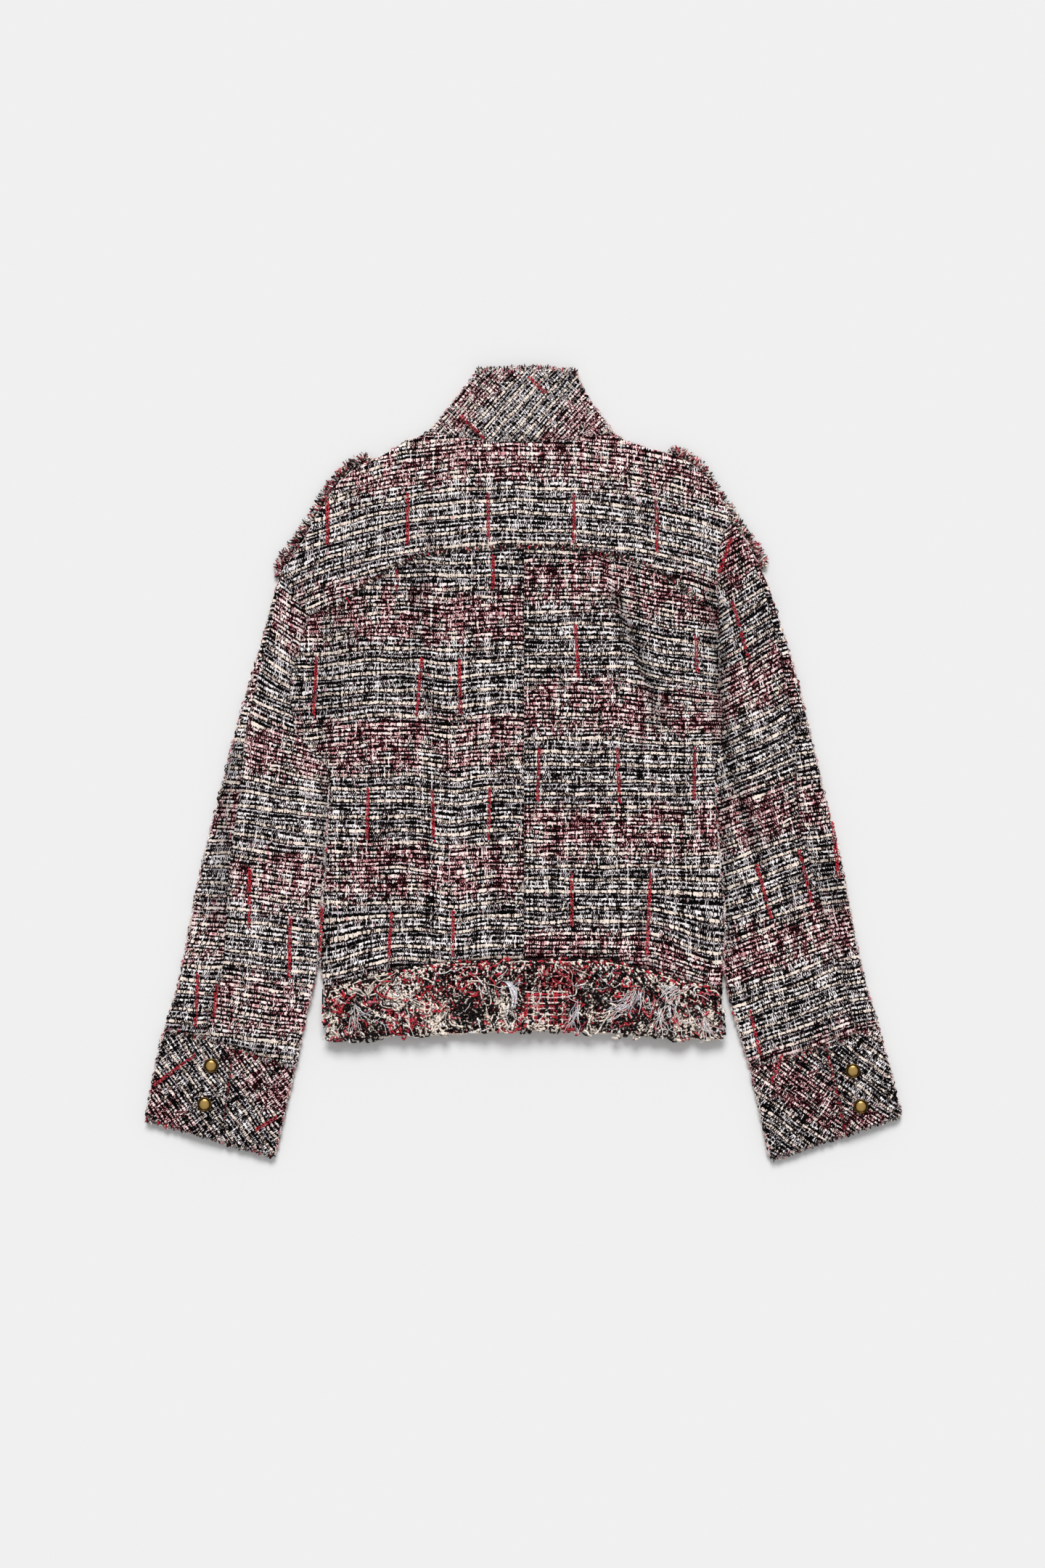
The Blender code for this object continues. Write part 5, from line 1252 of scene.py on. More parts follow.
def line_of(points):
    """edge(share) and its left-hand normal for a line of plan points."""
    curve = Curve(points)
    h = 0.004

    def out(share):
        step = curve(np.minimum(share + h, 1)) - curve(np.maximum(share - h, 0))
        return np.stack([step[:, 1], -step[:, 0]], axis=1) / np.hypot(*step.T)[:, None]

    return curve, out


def away(curve, out, centre=(722, 950)):
    """The same direction, turned to point away from the middle of the garment."""
    def direction(share):
        normal = out(share)
        side = np.sign(((curve(share) - np.array(centre)) * normal).sum(axis=1))
        return normal * np.where(side == 0, 1, side)[:, None]
    return direction


edge, out = line_of([(658, 513), (690, 511), (725, 510), (760, 511), (792, 514)])
collar_fray = frayed("fray_collar", edge, out, 330, (0.5, 7), (0.5, 0.95), FRAY, base=6.2, lift=2.2, inside=6)
tab_frays = {}
for tag, rows, sign in (("left", TAB_LEFT, -1), ("right", TAB_RIGHT, 1)):
    points = Curve(rows)(np.linspace(0, 1, 12))
    ends = moved_in(rows, -sign, 22)(np.linspace(0, 1, 12))
    edge, out = line_of([ends[0], points[0], *points[1:-1], points[-1], ends[-1]])
    tab_frays[tag] = frayed(
        f"fray_epaulette_{tag}", edge, away(edge, out), 400, (0, 8), (0.5, 1.0),
        ((BLACK, 6), (ROSE, 2), (RED, 1.4), (CREAM, 3), (WHITE, 2), (DEEP_ROSE, 2)), base=3.4, lift=2.4, inside=5,
    )
cuff_frays = {}
for tag, seam, end in (("left", cuff_seam_left, cuff_end_left), ("right", cuff_seam_right, cuff_end_right)):
    top_edge, top_out = line_of(seam(np.linspace(0.02, 0.98, 8)))
    low_edge, low_out = line_of(end(np.linspace(0.01, 0.99, 8)))
    frayed(f"fray_cuff_{tag}_top", top_edge, top_out, 170, (0, 5), (0.4, 0.8), FRAY, lift=1.6, inside=3)
    frayed(f"fray_cuff_{tag}_end", low_edge, lambda s, o=low_out: -o(s), 300, (-1, 5), (0.5, 0.95), FRAY, base=6.0, lift=2.2, inside=6)
    is_left = tag == "left"
    x0, x1 = CUFF_EDGE_LEFT if is_left else CUFF_EDGE_RIGHT
    y0, y1 = (1444, 1556) if is_left else (1446, 1560)
    side_edge, side_out = line_of([(x0, y0), ((x0 + x1) / 2, (y0 + y1) / 2), (x1, y1)])
    flip = 1 if is_left else -1
    frayed(
        f"fray_cuff_{tag}_lap", side_edge, lambda s, o=side_out, f=flip: o(s) * f, 230, (0, 4), (0.45, 0.85),
        ((BLACK, 7), (RED, 4), (DEEP_ROSE, 2), (CREAM, 1)), lift=1.8, inside=2,
    )
yoke_edge, yoke_out = line_of(YOKE_SEAM[2:-2])
frayed("fray_yoke", yoke_edge, lambda s: -yoke_out(s), 560, (-1, 6), (0.45, 0.9),
       ((BLACK, 8), (RED, 1), (DEEP_ROSE, 1.5), (CREAM, 2.5), (NAVY, 1.5)), lift=2.0, inside=3)

# Hem fringe: looped yarns over the band, in three heights, and fine filaments in tufts.
def band_point(share, down):
    top, low = band_seam(share), hem(share)
    return top * (1 - down)[:, None] + low * down[:, None]


CLUSTERS = np.stack([rng.uniform(446, 996, 90), rng.uniform(1325, 1430, 90)], axis=1)
CLUSTER_COLOURS = np.array([RED, BLACK, CREAM, BLACK, CREAM, BLACK, CREAM, BLACK, RED])[np.arange(90) % 9]


def clustered(start, colours, keep=0.36):
    """Yarns near each other often share a colour."""
    near = np.argmin(np.hypot(*(start[:, None] - CLUSTERS[None]).transpose(2, 0, 1)), axis=1)
    swap = rng.random(len(start)) < keep
    colours[swap] = CLUSTER_COLOURS[near[swap]] * rng.uniform(0.8, 1.0, (swap.sum(), 1))
    return colours


def hem_yarns(name, count, down, reach, thick, choices, points, lift, loop, spread=0.9, centre=None, keep_patch=0.75):
    share = rng.random(count) if centre is None else np.clip(centre[0] + rng.normal(0, centre[2], count), 0.01, 0.99)
    drop = rng.uniform(*down, count) if centre is None else np.clip(centre[1] + rng.normal(0, 0.06, count), 0.02, 0.95)
    start = band_point(share, drop)
    patch_here = (np.abs(start[:, 0] - 762) < 36) & (np.abs(start[:, 1] - 1378) < 30) & (rng.random(count) < keep_patch)
    share, drop, start = share[~patch_here], drop[~patch_here], start[~patch_here]
    count = len(share)
    angle = rng.normal(0, spread, count) + (0 if centre is None else centre[3])
    direction = np.stack([np.sin(angle), np.cos(angle)], axis=1)
    length = rng.uniform(*reach, count)
    s = np.linspace(0, 1, points)
    bend = np.stack([-direction[:, 1], direction[:, 0]], axis=1)
    looped = rng.random(count) < loop
    ahead = np.where(looped[:, None], np.sin(s * math.pi * 0.93)[None], s[None])
    aside = np.where(looped[:, None], (0.5 - 0.5 * np.cos(s * math.pi))[None] * rng.uniform(0.25, 0.6, count)[:, None], 0)
    wave = rng.uniform(0.02, 0.12, count)[:, None] * np.sin(
        s * rng.uniform(4, 13, count)[:, None] + rng.uniform(0, 6, count)[:, None]
    )
    xy = start[:, None] + direction[:, None] * (length[:, None] * ahead)[..., None] + bend[:, None] * (
        length[:, None] * (aside + wave + rng.normal(0, 0.18, count)[:, None] * s**2)
    )[..., None]
    low_edge = np.interp(xy[..., 0], *hem(np.linspace(0, 1, 40)).T) + rng.uniform(-2, 7, count)[:, None]
    xy[..., 1] = np.minimum(xy[..., 1], low_edge)
    side_lo, side_hi = 446.0, 998.0
    xy[..., 0] = np.clip(xy[..., 0], side_lo, side_hi)
    at, normal = surface(xy)
    height = rng.uniform(*lift, count)[:, None] + 1.2 * np.sin(s * math.pi)[None]
    paths = at + np.array([0, 0, 0.001]) * height[..., None]
    obj = tubes(name, paths, rng.uniform(*thick, count) / 1000, 4 if thick[1] > 0.6 else 3, clustered(start, picked(count, *choices)))
    yarn_pieces.append(obj)
    return obj


HEM_MIX = ((BLACK, 6.4), (CREAM, 4.0), (RED, 2.3), (DEEP_ROSE, 0.8), (WHITE, 1.0), (ROSE, 0.5))
fringe_base = hem_yarns("fringe_hem_short", 1350, (0.40, 0.99), (6, 16), (0.85, 1.5), HEM_MIX, 7, (0.3, 2.4), 0.45, spread=1.1)
fringe_upper = hem_yarns("fringe_hem_upper", 380, (0.03, 0.5), (6, 14), (0.8, 1.3), HEM_MIX, 7, (0.3, 1.8), 0.4, spread=0.9)
fringe_long = hem_yarns("fringe_hem_loops", 230, (0.12, 0.8), (16, 36), (0.55, 0.95), HEM_MIX, 12, (2.0, 4.0), 0.5, spread=1.0)


def beaded(name, lines, pitch, thick, choices, lift=0.8):
    """Knots of boucle in rows: lines is a list of plan polylines."""
    middles, along, sizes = [], [], []
    for line in lines:
        line = np.asarray(line, float)
        step = np.hypot(*np.diff(line, axis=0).T)
        far = np.concatenate([[0], np.cumsum(step)])
        at = np.arange(rng.uniform(0, pitch), far[-1], pitch)
        at = np.clip(at + rng.normal(0, pitch * 0.22, len(at)), 0, far[-1])
        middle = np.stack([np.interp(at, far, line[:, k]) for k in (0, 1)], axis=1)
        ahead = np.stack([np.interp(at + 1, far, line[:, k]) - np.interp(at - 1, far, line[:, k]) for k in (0, 1)], axis=1)
        middles.append(middle)
        along.append(ahead / np.maximum(np.hypot(*ahead.T), 1e-6)[:, None])
    middles, along = np.concatenate(middles), np.concatenate(along)
    keep = (rng.random(len(middles)) > 0.12)
    middles, along = middles[keep] + rng.normal(0, 0.4, (keep.sum(), 2)), along[keep]
    turned_by = rng.normal(0.5, 0.5, len(middles))[:, None]
    lean = along * np.cos(turned_by) + np.stack([-along[:, 1], along[:, 0]], axis=1) * np.sin(turned_by)
    s = np.array([-1.0, -0.4, 0.4, 1.0])
    xy = middles[:, None] + lean[:, None] * (s[None] * rng.uniform(0.4, 0.72, len(middles))[:, None] * pitch)[..., None]
    at, normal = surface(xy)
    paths = at + np.array([0, 0, 0.001]) * (rng.uniform(0.2, 1.1, len(middles))[:, None] * lift + np.array([0.0, 0.7, 0.7, 0.0]))[..., None]
    obj = tubes(name, paths, rng.uniform(*thick, len(middles)) / 1000, 4, picked(len(middles), *choices), taper=0.5)
    yarn_pieces.append(obj)
    return obj


# Rows of knots along the seam at the left, ribs down the band, slanting at the right.
ribs = []
for k in range(9):
    share = np.linspace(0.0, 0.30 - 0.014 * k, 24)
    ribs.append(band_seam(share) + np.stack([0 * share, 2.0 + 4.3 * k + 0.8 * np.sin(share * 40 + k)], axis=1))
for x0 in np.arange(536, 724, 5.6):
    share = (x0 - 440) / 564
    top, low = band_point(np.array([share]), np.array([0.03]))[0], band_point(np.array([share]), np.array([rng.uniform(0.40, 0.62)]))[0]
    s = np.linspace(0, 1, 9)
    ribs.append(np.stack([top[0] + 5 * s**2 + rng.normal(0, 0.6) + 0.9 * np.sin(s * 6 + x0), top[1] + (low[1] - top[1]) * s], axis=1))
for x0 in np.arange(792, 960, 6.4):
    share = (x0 - 440) / 564
    top = band_point(np.array([share]), np.array([0.06]))[0]
    s = np.linspace(0, 1, 10)
    reach = rng.uniform(30, 52)
    ribs.append(np.stack([np.minimum(top[0] + reach * 0.62 * s + 1.2 * np.sin(s * 5 + x0), 996), top[1] + reach * 0.8 * s], axis=1))
beaded("fringe_hem_ribs", ribs, 3.4, (0.75, 1.25), ((CREAM, 4.6), (BLACK, 5.4), (WHITE, 1.4), (RED, 0.8), (DEEP_ROSE, 0.5)), 1.0)
under_seam = []
for k in range(3):
    share = np.linspace(0.16, 0.99, 60)
    under_seam.append(band_seam(share) + np.stack([0 * share, 1.5 + 3.4 * k + 1.4 * np.sin(share * 50 + 2 * k)], axis=1))
beaded("fringe_hem_knots", under_seam, 4.0, (0.8, 1.35), ((RED, 3.0), (CREAM, 2.6), (BLACK, 5.0), (DEEP_ROSE, 1)), 1.3)

# Tufts of fine white filaments, and single ones that curl over the rest.
tufts = []
for k in range(9):
    centre = (rng.uniform(0.03, 0.97), rng.uniform(0.15, 0.75), rng.uniform(0.003, 0.008), rng.normal(0, 0.9))
    share = np.clip(centre[0] + rng.normal(0, centre[2], 14), 0.01, 0.99)
    drop = np.clip(centre[1] + rng.normal(0, 0.05, 14), 0.02, 0.95)
    tufts.append((share, drop, centre[3] + rng.normal(0, 0.22, 14)))
tufts.append((rng.uniform(0.02, 0.98, 60), rng.uniform(0.05, 0.85, 60), rng.normal(0, 1.2, 60)))
share, drop, angle = (np.concatenate(part) for part in zip(*tufts))
count = len(share)
s = np.linspace(0, 1, 9)
direction = np.stack([np.sin(angle), np.cos(angle)], axis=1)
bend = np.stack([-direction[:, 1], direction[:, 0]], axis=1)
length = rng.uniform(14, 34, count)
curl = rng.normal(0, 0.3, count)[:, None] * s**2 + rng.uniform(0.02, 0.06, count)[:, None] * np.sin(
    s * rng.uniform(5, 12, count)[:, None] + rng.uniform(0, 6, count)[:, None]
)
xy = band_point(share, drop)[:, None] + direction[:, None] * (length[:, None] * s)[..., None] + bend[:, None] * (length[:, None] * curl)[..., None]
xy[..., 1] = np.minimum(xy[..., 1], np.interp(xy[..., 0], *hem(np.linspace(0, 1, 40)).T) + rng.uniform(-2, 7, count)[:, None])
xy[..., 0] = np.clip(xy[..., 0], 446, 998)
at, normal = surface(xy)
paths = at + np.array([0, 0, 0.001]) * (rng.uniform(3.0, 5.0, count)[:, None] + 0.8 * np.sin(s * math.pi)[None])[..., None]
fringe_fine = tubes("fringe_hem_filaments", paths, rng.uniform(0.26, 0.42, count) / 1000, 3,
                    picked(count, (WHITE, 7), (BLUE_GREY, 2), (PALE_PINK, 2), (CREAM, 2)))
yarn_pieces.append(fringe_fine)

# The big pale loop, the woven patch, the knotted rows over the seam of the
# band and the raw edge of its hem.
along = np.linspace(0.0, 1.0, 14)
loop_paths = []
for k in range(12):
    a = np.stack([696 + 0.6 * k + 10 * np.sin(along * 2.2) + 1.4 * np.sin(along * 9 + k), 1352 + 36 * along - 5 * np.sin(along * math.pi)], axis=1)
    at, normal = surface(a)
    loop_paths.append(at + np.array([0, 0, 0.001]) * (3.0 + 1.6 * np.sin(along * math.pi) + 0.05 * k)[:, None])
fringe_loop = tubes("fringe_hem_big_loop", loop_paths, np.full(12, 0.0005), 4, picked(12, (WHITE, 4), (BLUE_GREY, 1), (LAVENDER, 1)))
yarn_pieces.append(fringe_loop)
patch_paths, patch_colours = [], []
for k in range(13):
    y = np.full(16, 1365 + 3.9 * k) + 0.5 * np.sin(np.linspace(0, 9, 16) + k)
    x = np.linspace(725 + rng.uniform(-3, 3), 781 + rng.uniform(-4, 4), 16)
    at, normal = surface(np.stack([x, y], axis=1))
    patch_paths.append(at + np.array([0, 0, 0.001]) * (2.2 + 0.5 * np.sin(np.arange(16) * math.pi + k * math.pi))[:, None])
    patch_colours.append((CREAM, RED, PALE_PINK, BLACK)[k % 4])
for k in range(14):
    x = np.full(16, 727 + 4.0 * k) + 0.5 * np.sin(np.linspace(0, 8, 16) + 2 * k)
    y = np.linspace(1363 + rng.uniform(-3, 3), 1414 + rng.uniform(-3, 3), 16)
    at, normal = surface(np.stack([x, y], axis=1))
    patch_paths.append(at + np.array([0, 0, 0.001]) * (2.2 + 0.5 * np.sin(np.arange(16) * math.pi + k * math.pi + math.pi))[:, None])
    patch_colours.append((RED, BLACK, CREAM, DEEP_ROSE, RED)[k % 5])
fringe_patch = tubes("fringe_hem_patch", patch_paths, rng.uniform(0.8, 1.1, 27) / 1000, 4, np.array(patch_colours))
yarn_pieces.append(fringe_patch)
along = np.linspace(0.01, 0.99, 120)
seam_paths, seam_colours = [], []
for k in range(3):
    line = band_seam(along) + np.stack([0 * along, 1.5 + 2.6 * k + 1.3 * np.sin(along * rng.uniform(30, 80) + k)], axis=1)
    at, normal = surface(line)
    seam_paths.append(at + np.array([0, 0, 0.001]) * (0.5 + 0.4 * np.sin(along * rng.uniform(60, 160) + k))[:, None])
    seam_colours.append((BLACK, CREAM, BLACK, CREAM, RED, BLACK, CREAM, BLACK, CREAM)[k])
fringe_cord = tubes("fringe_hem_heading", seam_paths, np.full(3, 0.0009), 4, np.array(seam_colours))
yarn_pieces.append(fringe_cord)
along = np.linspace(0.004, 0.996, 150)
edge_paths = []
for k in range(5):
    line = hem(along) + np.stack([0 * along, 1.5 - 1.5 * k + 0.7 * np.sin(along * rng.uniform(60, 150) + k)], axis=1)
    edge_paths.append(metres(line, 3.6 + 1.05 * k + 0.5 * np.sin(along * rng.uniform(60, 160) + k)) + SHIFT)
fringe_edge = tubes("fringe_hem_edge", edge_paths, np.full(5, 0.0009), 4, np.array([CREAM, CREAM, CREAM, BLACK, CREAM]))
yarn_pieces.append(fringe_edge)

# The hidden front length of the fringe lies pressed flat under the band.
count = 420
share, drop = rng.random(count), rng.uniform(0.05, 0.95, count)
start = band_point(share, drop)
start[:, 0] = 722 + (start[:, 0] - 722) * 0.95
angle = rng.normal(0, 0.9, count)
s = np.linspace(0, 1, 7)
direction = np.stack([np.sin(angle), np.cos(angle)], axis=1)
xy = start[:, None] + direction[:, None] * (rng.uniform(14, 40, count)[:, None] * s)[..., None]
xy[..., 0] = np.clip(xy[..., 0] + 2.5 * np.sin(s * 8 + rng.uniform(0, 6, count)[:, None]), 462, 984)
xy[..., 1] = np.minimum(xy[..., 1], np.interp(xy[..., 0], *hem(np.linspace(0, 1, 40)).T) - 1)
fringe_under = tubes("fringe_hem_front", metres(xy, rng.uniform(0.8, 1.5, count)[:, None] + 0 * xy[..., 0]) + SHIFT,
                     np.full(count, 0.0007), 4, picked(count, *HEM_MIX))

# Loose fibre on the folds, where the outline shows it.
fuzz_edges = (
    (outer_left, 0.0, 0.995, -1, 1150), (outer_right, 0.0, 0.995, 1, 1150),
    (side_left, 0.05, 0.99, -1, 300), (side_right, 0.05, 0.99, 1, 300),
    (sleeve_left_in, 0.05, 0.99, 1, 430), (sleeve_right_in, 0.05, 0.99, -1, 430),
)
paths, fuzz_count = [], 0
for curve, first, last, sign, count in fuzz_edges:
    share = rng.uniform(first, last, count)
    h = 0.003
    step = curve(np.minimum(share + h, 1)) - curve(np.maximum(share - h, 0))
    step /= np.hypot(*step.T)[:, None]
    outwards = np.stack([-step[:, 1], step[:, 0]], axis=1) * -sign
    on = curve(share) - outwards * rng.uniform(0.0, 2.5, count)[:, None]
    s = np.linspace(0, 1, 5)
    size = rng.uniform(2.0, 4.6, count)[:, None]
    xy = on[:, None] + outwards[:, None] * (size * np.sin(s * math.pi) * rng.uniform(0.35, 0.8, count)[:, None] + 1.2)[..., None] + step[:, None] * (
        size * (s - 0.5) * 1.6
    )[..., None]
    height = rng.uniform(2.2, 7.2, count)[:, None] + 0.5 * np.sin(s * 7)
    paths.append(metres(xy, height) + SHIFT)
paths = np.concatenate(paths)
fuzz = tubes("fold_slubs", paths, rng.uniform(0.35, 0.75, len(paths)) / 1000, 3,
             picked(len(paths), (BLACK, 3), (CREAM, 3), (WHITE, 2.4), (PALE_PINK, 2), (ROSE, 1.2), (LAVENDER, 1), (RED, 0.3)))
yarn_pieces.append(fuzz)

# Red warp floats: two strands side by side.  Columns: x, y of each end.
RED_FLOATS = (
    (452, 686, 452, 752), (562, 680, 562, 752), (673, 680, 673, 746), (791, 682, 791, 750), (904, 690, 905, 762),
    (680, 765, 680, 814), (547, 784, 547, 815),
    (437, 905, 433, 985), (582, 906, 574, 986), (633, 908, 635, 984),
    (508, 1085, 506, 1158), (596, 1088, 598, 1160), (675, 1085, 673, 1160),
    (540, 1256, 536, 1320), (625, 1254, 624, 1318), (446, 1250, 443, 1310),
    (793, 860, 797, 934), (959, 876, 960, 927),
    (743, 1030, 741, 1104), (851, 1030, 853, 1106), (957, 1030, 956, 1102),
    (788, 1200, 788, 1276), (896, 1202, 891, 1316),
    (345, 1196, 344, 1280), (401, 1262, 399, 1346), (274, 1340, 270, 1414), (300, 1356, 296, 1400),
    (1007, 742, 990, 792), (1008, 828, 1031, 908), (1042, 1190, 1062, 1265), (1100, 1170, 1118, 1243),
    (1145, 1132, 1155, 1210), (1033, 1390, 1047, 1452),
    (270, 1452, 214, 1494), (383, 1538, 352, 1556), (634, 573, 668, 606), (729, 520, 752, 543), (1078, 1452, 1062, 1490),
)
knots = []
for x0, y0, x1, y1 in RED_FLOATS:
    long = math.hypot(x1 - x0, y1 - y0)
    steps = max(3, int(long / 4.0))
    for k in range(steps):
        for strand in (-1, 1):
            t = (k + 0.5 + 0.25 * strand) / steps
            aside = strand * 1.25 / long
            knots.append((x0 + (x1 - x0) * t + (y1 - y0) * aside, y0 + (y1 - y0) * t - (x1 - x0) * aside, (x1 - x0) / long, (y1 - y0) / long))
knots = np.array(knots)
knots = knots[rng.random(len(knots)) > 0.08]
s = np.array([-1.0, -0.45, 0.45, 1.0])
xy = knots[:, None, :2] + knots[:, None, 2:] * (s * 1.55)[None, :, None] + rng.normal(0, 0.25, (len(knots), 1, 2))
at, normal = surface(xy)
lift_here = np.where((knots[:, 1] > 1440) & (knots[:, 0] < 325), LAYER, 0)[:, None]
paths = at + normal * 0.0003 + np.array([0, 0, 0.001]) * (np.array([0.0, 0.5, 0.5, 0.0])[None] + lift_here)[..., None]
floats = tubes("red_warp_floats", paths, rng.uniform(0.75, 0.95, len(knots)) / 1000, 4,
               picked(len(knots), (RED, 3), (DEEP_ROSE, 1)), taper=0.45)
yarn_pieces.append(floats)

# -------------------------------------------------------------------- snaps
# A domed cap in a rolled rim.  Columns: share of radius, share of height.
SNAP_PROFILE = (
    (0.10, 0.995), (0.22, 0.975), (0.34, 0.935), (0.46, 0.87), (0.57, 0.78), (0.66, 0.66), (0.715, 0.52), (0.74, 0.36),
    (0.78, 0.34), (0.81, 0.46), (0.86, 0.56), (0.91, 0.56), (0.96, 0.46), (1.0, 0.28), (0.99, 0.14), (0.93, 0.02),
)
snap_pieces = []
for node in sorted(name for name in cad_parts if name.startswith("snap")):
    low, high = (np.array(corner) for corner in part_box(node))
    centre = (low + high) / 2
    radius = (high - low)[:2].max() / 2
    face = -1.0 if node.startswith("snap_front") else 1.0
    foot = high[2] if face < 0 else low[2]
    sides = 56
    angle = np.arange(sides) * 2 * math.pi / sides
    rings = [
        np.stack([radius * r * np.cos(angle), radius * r * np.sin(angle), np.full(sides, face * h * (high[2] - low[2]))], axis=1)
        for r, h in SNAP_PROFILE
    ]
    verts = np.concatenate([*rings, [[0, 0, face * (high[2] - low[2])], [0, 0, 0]]]) + [centre[0], centre[1], foot]
    index = np.arange(sides * len(SNAP_PROFILE)).reshape(-1, sides)
    ahead = np.roll(index, -1, 1)
    quads = np.stack([index[:-1], index[1:], ahead[1:], ahead[:-1]], axis=-1).reshape(-1, 4)
    crown, base = len(verts) - 2, len(verts) - 1
    mesh = bpy.data.meshes.new(f"cap_{node}")
    faces = [tuple(q) for q in quads] + [(crown, int(a), int(b)) for a, b in zip(index[0], ahead[0])]
    faces += [(base, int(b), int(a)) for a, b in zip(index[-1], ahead[-1])]
    if face < 0:
        faces = [f[::-1] for f in faces]
    mesh.from_pydata([tuple(v) for v in verts], [], faces)
    for polygon in mesh.polygons:
        polygon.use_smooth = True
    obj = bpy.data.objects.new(f"cap_{node}", mesh)
    bpy.context.scene.collection.objects.link(obj)
    # Painted highlight and shade: each ring's share follows its height, lighter at the crown, with the rim's groove and
    # outer edge dark.
    tint = mesh.color_attributes.new("dome_painted_shading", "FLOAT_COLOR", "POINT")
    painted_shading = np.concatenate([np.repeat([h if r < 0.72 or 0.84 < r < 0.97 else 0.1 for r, h in SNAP_PROFILE], sides), [1.0, 0.0]])
    tint.data.foreach_set("color", np.repeat(painted_shading[:, None], 4, 1).astype(np.float32).ravel())
    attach(obj, "root")
    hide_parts(node)
    snap_pieces.append(obj)


# ---------------------------------------------------------------- materials
class Term:
    """A number in a shader, with arithmetic."""

    def __init__(self, tree, socket):
        self.tree, self.socket = tree, socket

    def op(self, kind, *others, first=None):
        node = self.tree.nodes.new("ShaderNodeMath")
        node.operation = kind
        values = (first, self) if first is not None else (self, *others)
        for slot, value in zip(node.inputs, values):
            if isinstance(value, Term):
                self.tree.links.new(value.socket, slot)
            else:
                slot.default_value = value
        return Term(self.tree, node.outputs[0])

    def __add__(self, other):
        return self.op("ADD", other)

    def __sub__(self, other):
        return self.op("SUBTRACT", other)

    def __rsub__(self, other):
        return self.op("SUBTRACT", first=other)

    def __mul__(self, other):
        return self.op("MULTIPLY", other)

    def __truediv__(self, other):
        return self.op("DIVIDE", other)

    __radd__, __rmul__ = __add__, __mul__

    def floor(self):
        return self.op("FLOOR")

    def fract(self):
        return self.op("FRACT")

    def above(self, limit):
        return self.op("GREATER_THAN", limit)

    def soft(self, low, high):
        node = self.tree.nodes.new("ShaderNodeMapRange")
        node.interpolation_type = "SMOOTHSTEP"
        self.tree.links.new(self.socket, node.inputs["Value"])
        node.inputs["From Min"].default_value = low
        node.inputs["From Max"].default_value = high
        return Term(self.tree, node.outputs["Result"])


def vector(tree, *terms):
    node = tree.nodes.new("ShaderNodeCombineXYZ")
    for slot, value in zip(node.inputs, terms):
        if isinstance(value, Term):
            tree.links.new(value.socket, slot)
        else:
            slot.default_value = value
    return node.outputs[0]


def noise(tree, at, detail=1.0, dimensions="2D", rough=0.5):
    """Three smooth random numbers round 0.5."""
    node = tree.nodes.new("ShaderNodeTexNoise")
    node.noise_dimensions = dimensions
    node.inputs["Scale"].default_value = 1.0
    node.inputs["Detail"].default_value = detail
    node.inputs["Roughness"].default_value = rough
    tree.links.new(at, node.inputs["Vector"])
    parts = tree.nodes.new("ShaderNodeSeparateColor")
    tree.links.new(node.outputs["Color"], parts.inputs[0])
    return [Term(tree, out) for out in parts.outputs]


def random(tree, at):
    """Three random numbers from 0 to 1 for each place in at."""
    node = tree.nodes.new("ShaderNodeTexWhiteNoise")
    node.noise_dimensions = "3D"
    tree.links.new(at, node.inputs["Vector"])
    parts = tree.nodes.new("ShaderNodeSeparateColor")
    tree.links.new(node.outputs["Color"], parts.inputs[0])
    return [Term(tree, out) for out in parts.outputs]


class Steps:
    """Both results of a colour ramp."""

    def __init__(self, node):
        self.colour, self.alpha = node.outputs[0], node.outputs[1]


def value(tree, number):
    node = tree.nodes.new("ShaderNodeValue")
    node.outputs[0].default_value = number
    return node.outputs[0]


def chart(tree, place, colours, alphas=None, smooth=False, stops=None):
    """Steps of colour: place runs from 0 to 1 over the list."""
    node = tree.nodes.new("ShaderNodeValToRGB")
    ramp = node.color_ramp
    ramp.interpolation = "LINEAR" if smooth else "CONSTANT"
    while len(ramp.elements) < len(colours):
        ramp.elements.new(1.0)
    for k, colour in enumerate(colours):
        ramp.elements[k].position = stops[k] if stops else k / len(colours)
        ramp.elements[k].color = (*colour, alphas[k] if alphas else 1.0)
    tree.links.new(place.socket, node.inputs[0])
    return Steps(node)


def mixed(tree, share, first, second, blend="MIX"):
    node = tree.nodes.new("ShaderNodeMix")
    node.data_type = "RGBA"
    node.blend_type = blend
    for slot, value in ((node.inputs[0], share), (node.inputs[6], first), (node.inputs[7], second)):
        if isinstance(value, Term):
            tree.links.new(value.socket, slot)
        elif isinstance(value, tuple):
            slot.default_value = (*value, 1.0)
        elif isinstance(value, float):
            slot.default_value = value
        else:
            tree.links.new(value, slot)
    return node.outputs[2]


def scaled(tree, colour, by):
    """A colour times a number."""
    node = tree.nodes.new("ShaderNodeVectorMath")
    node.operation = "SCALE"
    tree.links.new(colour, node.inputs[0])
    tree.links.new(by.socket, node.inputs["Scale"])
    return node.outputs[0]
